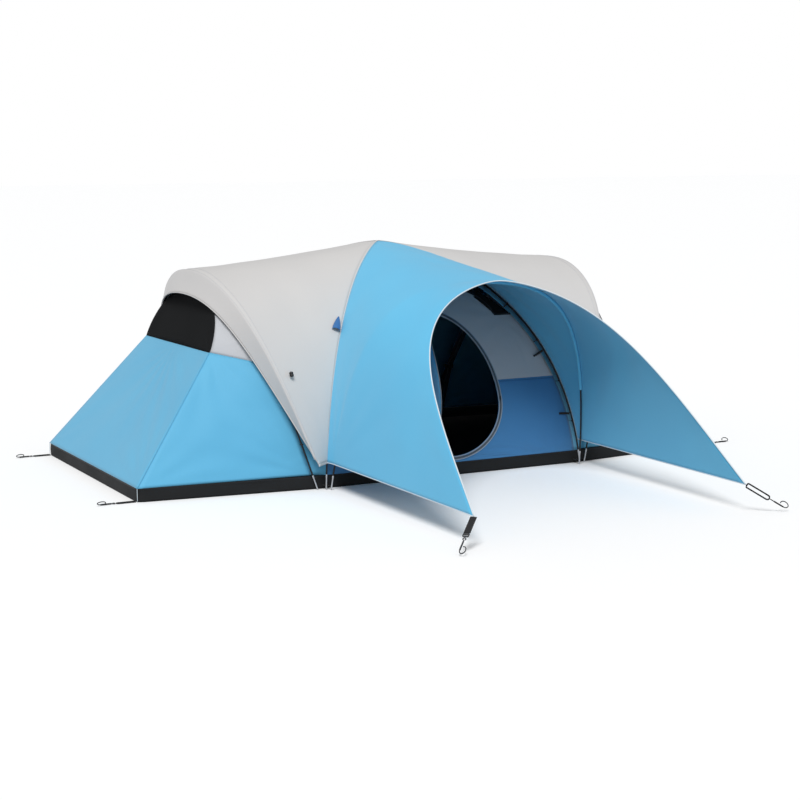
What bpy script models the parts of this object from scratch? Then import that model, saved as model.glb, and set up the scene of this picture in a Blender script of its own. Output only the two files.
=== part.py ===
"""Family tunnel tent: a domed middle on two crossed poles, an arched bay at each end and a winged porch.

The frame has +X along the floor to the right, -Y out through the doorway and +Z up. The origin is the
middle of the floor's underside, on the ground. Every length is in metres.
"""

import math

import bmesh
import bpy
import numpy as np

# Floor
FLOOR_LENGTH = 5.00
FLOOR_END_WIDTH = 2.26
FLOOR_MIDDLE_WIDTH = 2.60
FLOOR_MIDDLE_SPAN = 2.28
TUB_HEIGHT = 0.10
TUB_SKIN = 0.003

# Poles
POLE_RADIUS = 0.0065
PEAK_HEIGHT = 1.722
FOOT_OUTSET = 0.052
FOOT_SPACING = 0.057
FOOT_CLEARANCE = 0.002
TIP_LENGTH = 0.11
TIP_RADIUS = 0.0055
TIP_GAP = 0.002
ARC_HEIGHT = 1.556
ARC_INSET_FROM_END = 0.861
PORCH_ARCH_REACH = 0.370
PORCH_ARCH_HEIGHT = 1.511
PORCH_FOOT_INSET = 0.026
PORCH_FOOT_OUTSET = 0.083
# handles of the poles' curves: at the foot as a share of the height, its lean, and at the apex as a
# share of half the span (a length for the crossed poles)
CROSS_HANDLES = (0.894, -0.113, 0.20)
ARC_HANDLES = (0.297, -0.167, 0.93)
PORCH_HANDLES = (0.746, -0.069, 0.727)
CROSS_STEP = 0.001

# Inner tent
WALL = 0.002
SEAM_GAP = 0.003
INNER_HANG = 0.036
BAY_SLACK = 0.060
BAY_SLACK_HEIGHT = 0.60
SEAM_HEIGHT = 0.997
SEAM_DROP_TO_POLE = 0.082
FOLD_INSET_FROM_END = 0.731
FOLD_HALF_WIDTH = 0.716
WINDOW_BELOW_POLE = 0.116
WINDOW_TUCK = 0.080
FRONT_SEAM_HEIGHT = 0.69
FRONT_WALL_TOP = 1.30
MESH_BELOW_PEAK = 0.122
ROOF_BELOW_PEAK = 0.03

# Doorway, an egg standing on its broad end
DOOR_HALF_WIDTH = 0.442
DOOR_SILL = 0.147
DOOR_MIDDLE = 0.56
DOOR_TOP = 1.21
DOOR_PANEL_OFFSET = 0.03
DOOR_HINGE_MARGIN = 0.03
DOOR_AJAR = math.radians(95)
SLIDER_SIZE = (0.012, 0.007, 0.030)
SLIDER_CLEARANCE = 0.008

# Fly sheet
FLY = 0.002
FLY_CLEARANCE = 0.008
HEM_HEIGHT = 0.20
BROW_APEX_INSET = 0.798
BROW_BELOW_POLE = 0.190
BROW_HEM_OUT = (0.045, 0.085)
BROW_HANDLES = (0.746, -0.449, 0.59)
WING_TIP_HALF_SPAN = 1.073
WING_REACH_PAST_WALL = 2.192
WING_TIP_HEIGHT = 0.196
PORCH_BRIM_PAST_WALL = 0.654
PORCH_BRIM_HEIGHT = 1.557
WING_TIP_HANDLE = (-0.126, 0.796, 0.657)
WING_BRIM_HANDLE = (0.909, -0.082, -0.141)
PORCH_HEART = (0.7, 0.45)
HEART_HEIGHT = 0.35
HEART_SHARE_X = 0.35
BACK_BELLY = 0.05
FLY_SAG = 0.02
BROW_CLEARANCE = 0.0046
RIDGE_PULL_OUT = 0.12
RIDGE_PULL_IN = 0.03

# Divider curtain
CURTAIN_X = 1.10
CURTAIN_TOP_Y = 0.10
CURTAIN_BELOW_ROOF = 0.088
CURTAIN_TIE = (0.79, 0.553)
CURTAIN_FOOT = (1.02, 0.16)
CURTAIN_RADII = (0.030, 0.024, 0.060)
TIE_CLEARANCE = 0.012
TIE_BAND = 0.005
TIE_WIDTH = 0.030

# Ground gear
LOOP_LENGTH = 0.13
LOOP_WIDTH = 0.030
LOOP_RADIUS = 0.004
HOOK_SHANK = 0.085
HOOK_EYE = 0.010
HOOK_BOW = 0.019
HOOK_WIRE = 0.0030
GROUND_REST = 0.0045
HOOK_PLAY = 0.002
LOOP_FROM_CORNER = 0.03
GEAR_START = 0.02
WING_LOOP_LENGTH = 0.16
RIGHT_WING_PULL = (0.60, -0.26, -0.40)
LEFT_WING_PULL = (-0.50, -0.42, -0.42)
STRAP_WIDTH = 0.034
STRAP_THICKNESS = 0.003
STRAP_LENGTH = 0.13
BUCKLE_SIZE = (0.046, 0.012, 0.036)

# Small fittings on the fly
HOOD_LENGTH = 0.15
HOOD_WIDTH = 0.07
HOOD_DEPTH = 0.035
TOGGLE_RADIUS = 0.011
TOGGLE_LENGTH = 0.030
TOGGLE_UP_THE_FLY = 1 / 3
TOGGLE_PAST_RIDGE = 0.18
TOGGLE_STANDOFF = 0.016
HOOD_FOOT = 1.12
HOOD_STANDOFF = 0.006
HOOD_FROM_SEAM = 0.010

TOUCH_GAP = 0.0005
CURVE_STEPS = 14

HALF_LENGTH = FLOOR_LENGTH / 2
HALF_END = FLOOR_END_WIDTH / 2
HALF_MIDDLE = FLOOR_MIDDLE_WIDTH / 2
HALF_SPAN = FLOOR_MIDDLE_SPAN / 2
FLY_OFFSET = POLE_RADIUS + FLY_CLEARANCE
INNER_OFFSET = POLE_RADIUS + INNER_HANG
WINDOW_TOP = ARC_HEIGHT - WINDOW_BELOW_POLE
BROW_HEIGHT = ARC_HEIGHT - BROW_BELOW_POLE
MESH_TOP = PEAK_HEIGHT - MESH_BELOW_PEAK
WING_REACH = HALF_MIDDLE + WING_REACH_PAST_WALL
PORCH_BRIM_REACH = HALF_MIDDLE + PORCH_BRIM_PAST_WALL
LOOP_TO_HOOK = LOOP_WIDTH / 2 + LOOP_RADIUS + HOOK_WIRE + HOOK_EYE + HOOK_PLAY
MIRROR_X = np.array((-1.0, 1.0, 1.0))
MIRROR_Y = np.array((1.0, -1.0, 1.0))


def clear_scene():
    """Remove everything the file opened with."""
    for item in list(bpy.data.objects):
        bpy.data.objects.remove(item, do_unlink=True)


def make_material(name, colour, roughness, metallic=0.0):
    """Return a plain Principled material."""
    material = bpy.data.materials.new(name)
    material.use_nodes = True
    shader = material.node_tree.nodes["Principled BSDF"]
    shader.inputs["Base Color"].default_value = (*colour, 1.0)
    shader.inputs["Roughness"].default_value = roughness
    shader.inputs["Metallic"].default_value = metallic
    material.diffuse_color = (*colour, 1.0)
    return material


def make_materials():
    """Return the tent's finishes by name."""
    return {
        "blue_fabric": make_material("blue_fabric", (0.16, 0.48, 0.78), 0.75),
        "grey_fabric": make_material("grey_fabric", (0.62, 0.63, 0.65), 0.75),
        "tub_fabric": make_material("tub_fabric", (0.035, 0.035, 0.038), 0.60),
        "mesh_fabric": make_material("mesh_fabric", (0.02, 0.02, 0.023), 0.90),
        "curtain_fabric": make_material("curtain_fabric", (0.10, 0.14, 0.20), 0.85),
        "fibreglass": make_material("fibreglass", (0.02, 0.02, 0.02), 0.35),
        "steel_tip": make_material("steel_tip", (0.72, 0.72, 0.74), 0.30, 1.0),
        "wire_hook": make_material("wire_hook", (0.18, 0.18, 0.19), 0.35, 1.0),
        "black_webbing": make_material("black_webbing", (0.02, 0.02, 0.02), 0.80),
        "black_plastic": make_material("black_plastic", (0.02, 0.02, 0.02), 0.45),
    }


def link(collection, name, mesh, material):
    """Put a mesh in the scene as a named part."""
    part = bpy.data.objects.new(name, mesh)
    mesh.materials.append(material)
    collection.objects.link(part)
    return part


# ---------------------------------------------------------------- curves


def bezier(start, pull_start, pull_end, end, steps):
    """Return points along a cubic curve."""
    t = np.linspace(0.0, 1.0, steps + 1)[:, None]
    rest = 1.0 - t
    return rest**3 * start + 3 * rest**2 * t * pull_start + 3 * rest * t**2 * pull_end + t**3 * end


def half_arch(foot, apex, foot_pull, foot_lean, apex_pull, steps=CURVE_STEPS):
    """Return points from a pole's foot to its apex, in the plane that holds both and the mirrored foot.

    foot_pull and apex_pull are the handles' lengths, and foot_lean tips the first one outwards.
    """
    foot = np.array(foot, dtype=float)
    apex = np.array(apex, dtype=float)
    sideways = foot - apex
    sideways[2] = 0.0
    if abs(apex[0]) > abs(apex[1]):
        sideways[0] = 0.0
    elif abs(apex[1]) > 0.0:
        sideways[1] = 0.0
    half_span = float(np.linalg.norm(sideways))
    sideways = sideways / half_span
    rise = apex - (foot - sideways * half_span)
    height = float(np.linalg.norm(rise))
    rise = rise / height
    flat = bezier(
        np.array((half_span, 0.0)),
        np.array((half_span + foot_pull * math.sin(foot_lean), foot_pull * math.cos(foot_lean))),
        np.array((apex_pull, height)),
        np.array((0.0, height)),
        steps,
    )
    middle = foot - sideways * half_span
    return middle + flat[:, :1] * sideways + flat[:, 1:] * rise


def cross_half(steps=CURVE_STEPS, lift=0.0):
    """Return the front right half of a crossed pole, foot to peak."""
    foot = (HALF_SPAN - FOOT_OUTSET / 2, -HALF_MIDDLE - FOOT_OUTSET, FOOT_CLEARANCE)
    pull, lean, apex_pull = CROSS_HANDLES
    return half_arch(foot, (0.0, 0.0, PEAK_HEIGHT + lift), pull * PEAK_HEIGHT, lean, apex_pull, steps)


def arc_half(steps=CURVE_STEPS):
    """Return the front half of the right bay's pole, foot to apex."""
    foot = (HALF_SPAN - FOOT_OUTSET / 2 + FOOT_SPACING, -HALF_MIDDLE - FOOT_OUTSET / 2, FOOT_CLEARANCE)
    apex = (HALF_LENGTH - ARC_INSET_FROM_END, 0.0, ARC_HEIGHT)
    pull, lean, apex_pull = ARC_HANDLES
    return half_arch(foot, apex, pull * ARC_HEIGHT, lean, apex_pull * HALF_MIDDLE, steps)


def porch_half(steps=CURVE_STEPS):
    """Return the right half of the porch arch, foot to apex."""
    foot_x = HALF_SPAN - FOOT_OUTSET / 2 - PORCH_FOOT_INSET
    foot = (foot_x, -HALF_MIDDLE - PORCH_FOOT_OUTSET, FOOT_CLEARANCE)
    apex = (0.0, -HALF_MIDDLE - PORCH_ARCH_REACH, PORCH_ARCH_HEIGHT)
    pull, lean, apex_pull = PORCH_HANDLES
    return half_arch(foot, apex, pull * PORCH_ARCH_HEIGHT, lean, apex_pull * HALF_SPAN, steps)


def brow_half(steps=CURVE_STEPS):
    """Return the front half of the right fly's outer edge, hem to apex, clear of the pole that comes out under it."""
    fine = brow_arch(4 * CURVE_STEPS)
    pole = arc_half(4 * CURVE_STEPS)
    apart = fine[:, None] - pole[None, :]
    row, column = divmod(int(np.argmin(np.linalg.norm(apart, axis=2))), len(pole))
    inside = float(apart[row, column] @ outward(fine)[row])
    return push_out(brow_arch(steps), POLE_RADIUS + FLY + BROW_CLEARANCE - inside)


def brow_arch(steps):
    """Return the plain curve of the front half of the right fly's outer edge, hem to apex."""
    hem = (HALF_SPAN + BROW_HEM_OUT[0], -HALF_MIDDLE - BROW_HEM_OUT[1], HEM_HEIGHT)
    apex = (HALF_LENGTH - BROW_APEX_INSET, 0.0, BROW_HEIGHT)
    pull, lean, apex_pull = BROW_HANDLES
    return half_arch(hem, apex, pull * BROW_HEIGHT, lean, apex_pull * HALF_MIDDLE, steps)


def ridge_half(steps=CURVE_STEPS):
    """Return the line where the right fly turns over the bay's pole, hem to apex.

    It follows the pole at the top and pulls away from it towards the foot, where the hem is tied out.
    """
    pole = resample(above(push_out(arc_half(steps * 2), FLY_OFFSET), HEM_HEIGHT), steps + 1)
    share = np.linspace(1.0, 0.0, steps + 1)[:, None]
    return pole + share**2 * np.array((-RIDGE_PULL_IN, -RIDGE_PULL_OUT, 0.0))


def fly_shoulder(brow, ridge):
    """Return the line where the fly's lip leaves the pole, as far from the pole as the ridge but square to the lip."""
    along = np.gradient(ridge, axis=0)
    along = along / np.linalg.norm(along, axis=1)[:, None]
    away = outward(ridge)
    down = brow - ridge
    down = down - along * np.sum(down * along, axis=1)[:, None]
    square = np.cross(along, down)
    square = square / np.linalg.norm(square, axis=1)[:, None]
    square = square * np.sign(np.sum(square * away, axis=1))[:, None]
    return ridge + (square - away) * FLY_OFFSET


def wing_edge_half(steps=CURVE_STEPS):
    """Return the porch's front edge from the right wing's tip up to the brim's middle."""
    tip = np.array((WING_TIP_HALF_SPAN, -WING_REACH, WING_TIP_HEIGHT))
    brim = np.array((0.0, -PORCH_BRIM_REACH, PORCH_BRIM_HEIGHT))
    pull_tip = tip + np.array(WING_TIP_HANDLE)
    pull_brim = brim + np.array(WING_BRIM_HANDLE)
    return bezier(tip, pull_tip, pull_brim, brim, steps)


def outward(curve):
    """Return the directions away from the tent's middle axis, level with the ground below that axis."""
    away = curve - np.array((0.0, 0.0, HEART_HEIGHT))
    away[:, 0] *= HEART_SHARE_X
    away[:, 2] = np.maximum(away[:, 2], 0.0)
    return away / np.linalg.norm(away, axis=1)[:, None]


def push_out(curve, distance):
    """Move a curve away from the tent's middle axis by a distance."""
    return curve + outward(curve) * distance


def above(curve, height):
    """Cut off the part of a rising curve that is below a height, with a point at that height."""
    return between(curve, height, float(curve[-1, 2]))


def between(curve, low, high, steps=None):
    """Return the stretch of a rising curve between two heights, evenly spaced in height's own course."""
    order = np.arange(len(curve), dtype=float)
    start = float(np.interp(low, curve[:, 2], order))
    stop = float(np.interp(high, curve[:, 2], order))
    count = (steps or max(3, int(round(stop - start)))) + 1
    at = np.linspace(start, stop, count)
    return np.stack([np.interp(at, order, curve[:, axis]) for axis in range(3)], axis=1)


def resample(curve, count):
    """Return a curve as evenly spaced points."""
    run = np.concatenate(([0.0], np.cumsum(np.linalg.norm(np.diff(curve, axis=0), axis=1))))
    at = np.linspace(0.0, run[-1], count)
    return np.stack([np.interp(at, run, curve[:, axis]) for axis in range(3)], axis=1)


def inset(rows, gap):
    """Pull the two ends of every row of points in by a gap, so that neighbours never touch."""
    first = rows[:, 1] - rows[:, 0]
    last = rows[:, -2] - rows[:, -1]
    pulled = rows.copy()
    pulled[:, 0] += first / np.linalg.norm(first, axis=1)[:, None] * gap
    pulled[:, -1] += last / np.linalg.norm(last, axis=1)[:, None] * gap
    return pulled


def ruled(side_a, side_b, columns, gap=SEAM_GAP):
    """Return a grid of straight rows between two curves of equal length, clear of both by a gap."""
    share = np.linspace(0.0, 1.0, columns + 1)[None, :, None]
    rows = side_a[:, None, :] * (1.0 - share) + side_b[:, None, :] * share
    return inset(rows, gap)


# ---------------------------------------------------------------- solids


def sheet_mesh(name, grids):
    """Return an open mesh from grids of points, joined where they meet."""
    builder = bmesh.new()
    for grid in grids:
        rows, columns = grid.shape[:2]
        verts = [[builder.verts.new(point) for point in row] for row in grid]
        for row in range(rows - 1):
            for column in range(columns - 1):
                builder.faces.new(
                    (
                        verts[row][column],
                        verts[row][column + 1],
                        verts[row + 1][column + 1],
                        verts[row + 1][column],
                    )
                )
    bmesh.ops.remove_doubles(builder, verts=builder.verts, dist=0.0001)
    bmesh.ops.triangulate(builder, faces=builder.faces)
    mesh = bpy.data.meshes.new(name)
    builder.to_mesh(mesh)
    builder.free()
    return mesh


def fabric(collection, name, grids, thickness, material):
    """Make a fabric panel: an open surface given its thickness by Solidify."""
    part = link(collection, name, sheet_mesh(name, grids), material)
    shell = part.modifiers.new("thickness", "SOLIDIFY")
    shell.thickness = thickness
    shell.offset = 0.0
    return part


def rod(collection, name, points, radius, material, resolution=2, cyclic=False):
    """Make a round rod, pole or cord along a line of points."""
    curve = bpy.data.curves.new(name, "CURVE")
    curve.dimensions = "3D"
    curve.bevel_depth = radius
    curve.bevel_resolution = resolution
    curve.use_fill_caps = not cyclic
    spline = curve.splines.new("POLY")
    spline.points.add(len(points) - 1)
    for target, point in zip(spline.points, points):
        target.co = (*point, 1.0)
    spline.use_cyclic_u = cyclic
    curve.materials.append(material)
    part = bpy.data.objects.new(name, curve)
    collection.objects.link(part)
    return part


def block(collection, name, size, centre, material, axes=None, bevel=0.0):
    """Make a box of a size about a centre, with its own directions if they are given."""
    builder = bmesh.new()
    bmesh.ops.create_cube(builder, size=1.0)
    frame = np.eye(3) if axes is None else np.array(axes)
    for vert in builder.verts:
        local = np.array(vert.co) * np.array(size)
        vert.co = np.array(centre) + local @ frame
    builder.normal_update()
    bmesh.ops.recalc_face_normals(builder, faces=builder.faces)
    mesh = bpy.data.meshes.new(name)
    builder.to_mesh(mesh)
    builder.free()
    part = link(collection, name, mesh, material)
    if bevel:
        edge = part.modifiers.new("edges", "BEVEL")
        edge.width = bevel
        edge.segments = 1
    return part


# ---------------------------------------------------------------- floor


def floor_outline(inward=0.0):
    """Return the floor's eight corners, anticlockwise from above, drawn in by a distance."""
    corners = [
        (HALF_LENGTH - inward, -HALF_END + inward),
        (HALF_LENGTH - inward, HALF_END - inward),
        (HALF_SPAN, HALF_MIDDLE - inward),
        (-HALF_SPAN, HALF_MIDDLE - inward),
        (-HALF_LENGTH + inward, HALF_END - inward),
        (-HALF_LENGTH + inward, -HALF_END + inward),
        (-HALF_SPAN, -HALF_MIDDLE + inward),
        (HALF_SPAN, -HALF_MIDDLE + inward),
    ]
    return corners


def make_floor(collection, materials):
    """Make the tub: a flat floor with a standing wall all round."""
    builder = bmesh.new()
    rings = []
    levels = ((0.0, 0.0), (0.0, TUB_HEIGHT), (TUB_SKIN, TUB_HEIGHT), (TUB_SKIN, TUB_SKIN))
    for inward, height in levels:
        rings.append([builder.verts.new((x, y, height)) for x, y in floor_outline(inward)])
    for lower, upper in zip(rings, rings[1:]):
        for index in range(len(lower)):
            following = (index + 1) % len(lower)
            builder.faces.new((lower[index], lower[following], upper[following], upper[index]))
    builder.faces.new(list(reversed(rings[0])))
    builder.faces.new(rings[-1])
    mesh = bpy.data.meshes.new("floor_tub")
    builder.to_mesh(mesh)
    builder.free()
    link(collection, "floor_tub", mesh, materials["tub_fabric"])


# ---------------------------------------------------------------- poles


def split_tip(points):
    """Divide a pole's line at the top of its steel tip, and return the tip's two ends and the rest."""
    run = np.concatenate(([0.0], np.cumsum(np.linalg.norm(np.diff(points, axis=0), axis=1))))
    cut = [float(np.interp(TIP_LENGTH, run, points[:, axis])) for axis in range(3)]
    beyond = [float(np.interp(TIP_LENGTH + TIP_GAP, run, points[:, axis])) for axis in range(3)]
    kept = points[run > TIP_LENGTH + 4 * POLE_RADIUS]
    return np.array((points[0], cut)), np.vstack((beyond, kept))


def make_tip(collection, name, ends, material):
    """Make one steel tip, a straight pin with its foot just clear of the ground."""
    foot, top = ends
    along = (top - foot) / np.linalg.norm(top - foot)
    slope = math.sqrt(max(0.0, 1.0 - along[2] ** 2))
    foot = foot + along * (TIP_RADIUS * slope / along[2])
    rod(collection, name, (foot, top), TIP_RADIUS, material)


def make_pole(collection, name, half, far_half, tip_names, materials):
    """Make a pole from its two halves, each drawn foot to apex, with a steel tip on each foot."""
    near_tip, near = split_tip(half)
    far_tip, far = split_tip(far_half)
    line = np.vstack((near, far[::-1][1:]))
    rod(collection, name, line, POLE_RADIUS, materials["fibreglass"])
    make_tip(collection, tip_names[0], near_tip, materials["steel_tip"])
    make_tip(collection, tip_names[1], far_tip, materials["steel_tip"])


def make_poles(collection, materials):
    """Make the two crossed poles, the two bay poles and the porch arch."""
    steps = CURVE_STEPS
    over = cross_half(steps, lift=POLE_RADIUS + CROSS_STEP / 2)
    under = cross_half(steps, lift=-POLE_RADIUS - CROSS_STEP / 2)
    make_pole(
        collection,
        "cross_pole_a",
        under * MIRROR_X,
        under * MIRROR_Y,
        ("tip_cross_front_left", "tip_cross_back_right"),
        materials,
    )
    make_pole(
        collection,
        "cross_pole_b",
        over,
        over * MIRROR_X * MIRROR_Y,
        ("tip_cross_front_right", "tip_cross_back_left"),
        materials,
    )
    arc = arc_half()
    for side, mirror in (("right", np.ones(3)), ("left", MIRROR_X)):
        tips = (f"tip_arc_front_{side}", f"tip_arc_back_{side}")
        make_pole(collection, f"arc_pole_{side}", arc * mirror, arc * mirror * MIRROR_Y, tips, materials)
    porch = porch_half()
    tips = ("tip_porch_right", "tip_porch_left")
    make_pole(collection, "porch_pole", porch, porch * MIRROR_X, tips, materials)


# ---------------------------------------------------------------- inner tent


def inner_cross():
    """Return the line of the middle walls under the front right half of the crossed poles."""
    return push_out(cross_half(24), -INNER_OFFSET)


def inner_arc():
    """Return the line of the bay's walls under the front half of the right pole, slacker above the tub."""
    arc = arc_half(24)
    slack = np.clip(arc[:, 2:] / BAY_SLACK_HEIGHT, 0.0, 1.0) * BAY_SLACK
    return push_out(arc, -INNER_OFFSET - slack)


def wall_foot():
    """Return the height at which the walls are sewn to the tub."""
    return TUB_HEIGHT + TOUCH_GAP + WALL / 2


def make_lower_wall(collection, side, mirror, materials):
    """Make a bay's blue wall: two sides and an end, folded at the two corners."""
    rows = 6
    arc = between(inner_arc(), wall_foot(), SEAM_HEIGHT - SEAM_DROP_TO_POLE - SEAM_GAP, rows)
    corner_low = np.array((HALF_LENGTH - WALL, -HALF_END + WALL, wall_foot()))
    fold = np.array((HALF_LENGTH - FOLD_INSET_FROM_END, -FOLD_HALF_WIDTH, SEAM_HEIGHT - SEAM_GAP))
    share = np.linspace(0.0, 1.0, rows + 1)[:, None]
    crease = corner_low * (1.0 - share) + fold * share
    across = np.linspace(0.0, 1.0, 4)[None, :, None]
    front = arc[:, None, :] * (1.0 - across) + crease[:, None, :] * across
    end = crease[:, None, :] * (1.0 - across) + (crease * MIRROR_Y)[:, None, :] * across
    back = (front * MIRROR_Y)[:, ::-1]
    whole = inset(np.concatenate((front, end[:, 1:], back[:, 1:]), axis=1), SEAM_GAP)
    fabric(collection, f"wall_lower_{side}", [whole * mirror], WALL, materials["blue_fabric"])


def window_edge(steps, margin=0.0):
    """Return the right window's arched edge, from its front corner over the top to its back corner."""
    angle = np.linspace(math.pi, 0.0, steps + 1)
    rise = WINDOW_TOP - SEAM_HEIGHT - margin
    height = SEAM_HEIGHT + margin * 0.5 + rise * np.sin(angle)
    lean = (height - SEAM_HEIGHT) / (ARC_HEIGHT - SEAM_HEIGHT)
    start = HALF_LENGTH - FOLD_INSET_FROM_END
    x = start + (HALF_LENGTH - ARC_INSET_FROM_END - WINDOW_TUCK - start) * lean
    return np.stack((x, (FOLD_HALF_WIDTH - margin) * np.cos(angle), height), axis=1)


def make_window(collection, side, mirror, materials):
    """Make a bay's mesh window, a leaning half round panel."""
    edge = window_edge(16, margin=2 * SEAM_GAP)
    sill = edge * (1.0, 1.0, 0.0) + (0.0, 0.0, edge[0, 2])
    sill[:, 0] = edge[0, 0]
    grid = np.stack((sill[1:-1], (sill[1:-1] + edge[1:-1]) / 2, edge[1:-1]), axis=0)
    fabric(collection, f"window_{side}", [grid * mirror], WALL, materials["mesh_fabric"])


def make_upper_wall(collection, side, mirror, materials):
    """Make a bay's grey upper wall, the arched band between its window and its pole."""
    seam = SEAM_HEIGHT - SEAM_DROP_TO_POLE + SEAM_GAP
    half = between(inner_arc(), seam, ARC_HEIGHT - INNER_OFFSET - BAY_SLACK - WALL, 9)
    outer = np.vstack((half[:-1], (half * MIRROR_Y)[::-1]))
    outer = resample(outer, 19)
    inner = resample(window_edge(36), 19)
    inner[:, 2] = np.maximum(inner[:, 2], SEAM_HEIGHT + SEAM_GAP)
    grid = ruled(inner, outer, 2)
    fabric(collection, f"wall_upper_{side}", [grid * mirror], WALL, materials["grey_fabric"])


def make_inner_roof(collection, side, mirror, materials):
    """Make the inner roof between a bay's pole and the crossed poles."""
    rows = 12
    top = ARC_HEIGHT - INNER_OFFSET - BAY_SLACK - 2 * WALL
    arc = between(inner_arc(), wall_foot(), top, rows)
    cross_top = PEAK_HEIGHT - INNER_OFFSET - ROOF_BELOW_PEAK
    cross = between(inner_cross(), wall_foot(), cross_top, rows)
    front = ruled(arc, cross, 3, 2 * SEAM_GAP)
    back = (front * MIRROR_Y)[::-1]
    ridge = (front[-1:] + back[:1]) / 2
    grid = np.concatenate((front, ridge, back), axis=0)
    fabric(collection, f"inner_roof_{side}", [grid * mirror], WALL, materials["blue_fabric"])


def wall_point(x, height):
    """Return the point of the middle front wall at a place across and a height."""
    line = inner_cross()
    y = np.interp(height, line[:, 2], line[:, 1])
    return np.stack((np.broadcast_to(x, np.shape(height)), y, height), axis=-1)


def wall_half_width(height):
    """Return the middle wall's half width at a height."""
    line = inner_cross()
    return np.interp(height, line[:, 2], line[:, 0]) - SEAM_GAP


def door_half_width(height, margin=0.0):
    """Return the doorway's half width at a height, for an egg of two half ellipses."""
    low = (height - DOOR_MIDDLE) / (DOOR_MIDDLE - DOOR_SILL + margin)
    high = (height - DOOR_MIDDLE) / (DOOR_TOP - DOOR_MIDDLE + margin)
    share = np.where(height < DOOR_MIDDLE, low, high)
    return (DOOR_HALF_WIDTH + margin) * np.sqrt(np.clip(1.0 - share**2, 0.0, 1.0))


def door_levels(low, high, count):
    """Return heights up the doorway between two levels, closer together at its top and bottom."""
    angle = np.linspace(0.0, math.pi, count + 1)
    below = DOOR_MIDDLE - (DOOR_MIDDLE - DOOR_SILL) * np.cos(angle)
    over = DOOR_MIDDLE - (DOOR_TOP - DOOR_MIDDLE) * np.cos(angle)
    heights = np.where(angle < math.pi / 2, below, over)
    inside = heights[(heights > low + 0.01) & (heights < high - 0.01)]
    return np.concatenate(([low], inside, [high]))


def strip(low_side, high_side, heights, columns):
    """Return a grid of the middle wall between two sides, each a half width at every height."""
    share = np.linspace(0.0, 1.0, columns + 1)
    x = low_side[:, None] * (1.0 - share) + high_side[:, None] * share
    return wall_point(x, np.broadcast_to(heights[:, None], x.shape))


def make_front_walls(collection, materials):
    """Make the front wall's blue and grey panels, each cut round its part of the doorway."""
    foot = wall_foot()
    sill = np.array((foot, DOOR_SILL))
    lower = np.concatenate((sill[:1], door_levels(DOOR_SILL, FRONT_SEAM_HEIGHT - SEAM_GAP, 14)))
    upper = door_levels(FRONT_SEAM_HEIGHT + SEAM_GAP, DOOR_TOP, 14)
    upper = np.concatenate((upper, (FRONT_WALL_TOP - SEAM_GAP,)))
    for name, heights, finish in (
        ("front_wall_lower", lower, "blue_fabric"),
        ("front_wall_upper", upper, "grey_fabric"),
    ):
        outer = wall_half_width(heights)
        inner = door_half_width(heights)
        right = strip(inner, outer, heights, 3)
        solid = inner < 0.001
        middle_heights = heights[solid]
        middle = strip(-inner[solid], inner[solid], middle_heights, 1)
        grids = [right, (right * MIRROR_X)[:, ::-1]]
        if len(middle_heights) > 1:
            grids.append(middle)
        fabric(collection, name, grids, WALL, materials[finish])


def make_back_walls(collection, materials):
    """Make the plain panels of the back wall, in the front wall's own curve."""
    for name, low, high, finish in (
        ("back_wall_lower", wall_foot(), FRONT_SEAM_HEIGHT - SEAM_GAP, "blue_fabric"),
        ("back_wall_upper", FRONT_SEAM_HEIGHT + SEAM_GAP, FRONT_WALL_TOP - SEAM_GAP, "grey_fabric"),
    ):
        heights = np.linspace(low, high, 6)
        outer = wall_half_width(heights)
        grid = strip(-outer, outer, heights, 4) * MIRROR_Y
        fabric(collection, name, [grid], WALL, materials[finish])


def make_roof_mesh(collection, materials):
    """Make the two mesh roof panels above the middle walls."""
    heights = np.linspace(FRONT_WALL_TOP + SEAM_GAP, MESH_TOP, 6)
    outer = wall_half_width(heights)
    front = strip(-outer, outer, heights, 4)
    fabric(collection, "roof_mesh_front", [front], WALL, materials["mesh_fabric"])
    fabric(collection, "roof_mesh_back", [front * MIRROR_Y], WALL, materials["mesh_fabric"])


# ---------------------------------------------------------------- door


def door_hinge():
    """Return the door flap's hinge line: its middle point and its upward direction."""
    levels = np.array((DOOR_SILL, DOOR_TOP))
    ends = wall_point(np.full(2, -DOOR_HALF_WIDTH - DOOR_HINGE_MARGIN), levels)
    ends[:, 1] -= DOOR_PANEL_OFFSET + wall_bulge()
    up = ends[1] - ends[0]
    return (ends[0] + ends[1]) / 2, up / np.linalg.norm(up)


def wall_bulge():
    """Return how far the middle wall stands out from the straight line up its doorway."""
    heights = np.linspace(DOOR_SILL, DOOR_TOP, 9)
    points = wall_point(np.zeros(9), heights)
    straight = np.linspace(points[0, 1], points[-1, 1], 9)
    return float(np.max(straight - points[:, 1]))


def turn_about(points, centre, axis, angle):
    """Turn points about a line by the right-hand rule."""
    offset = points - centre
    along = offset @ axis
    crossed = np.cross(axis, offset)
    turned = offset * math.cos(angle) + crossed * math.sin(angle)
    return centre + turned + axis * (along * (1.0 - math.cos(angle)))[..., None]


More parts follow.
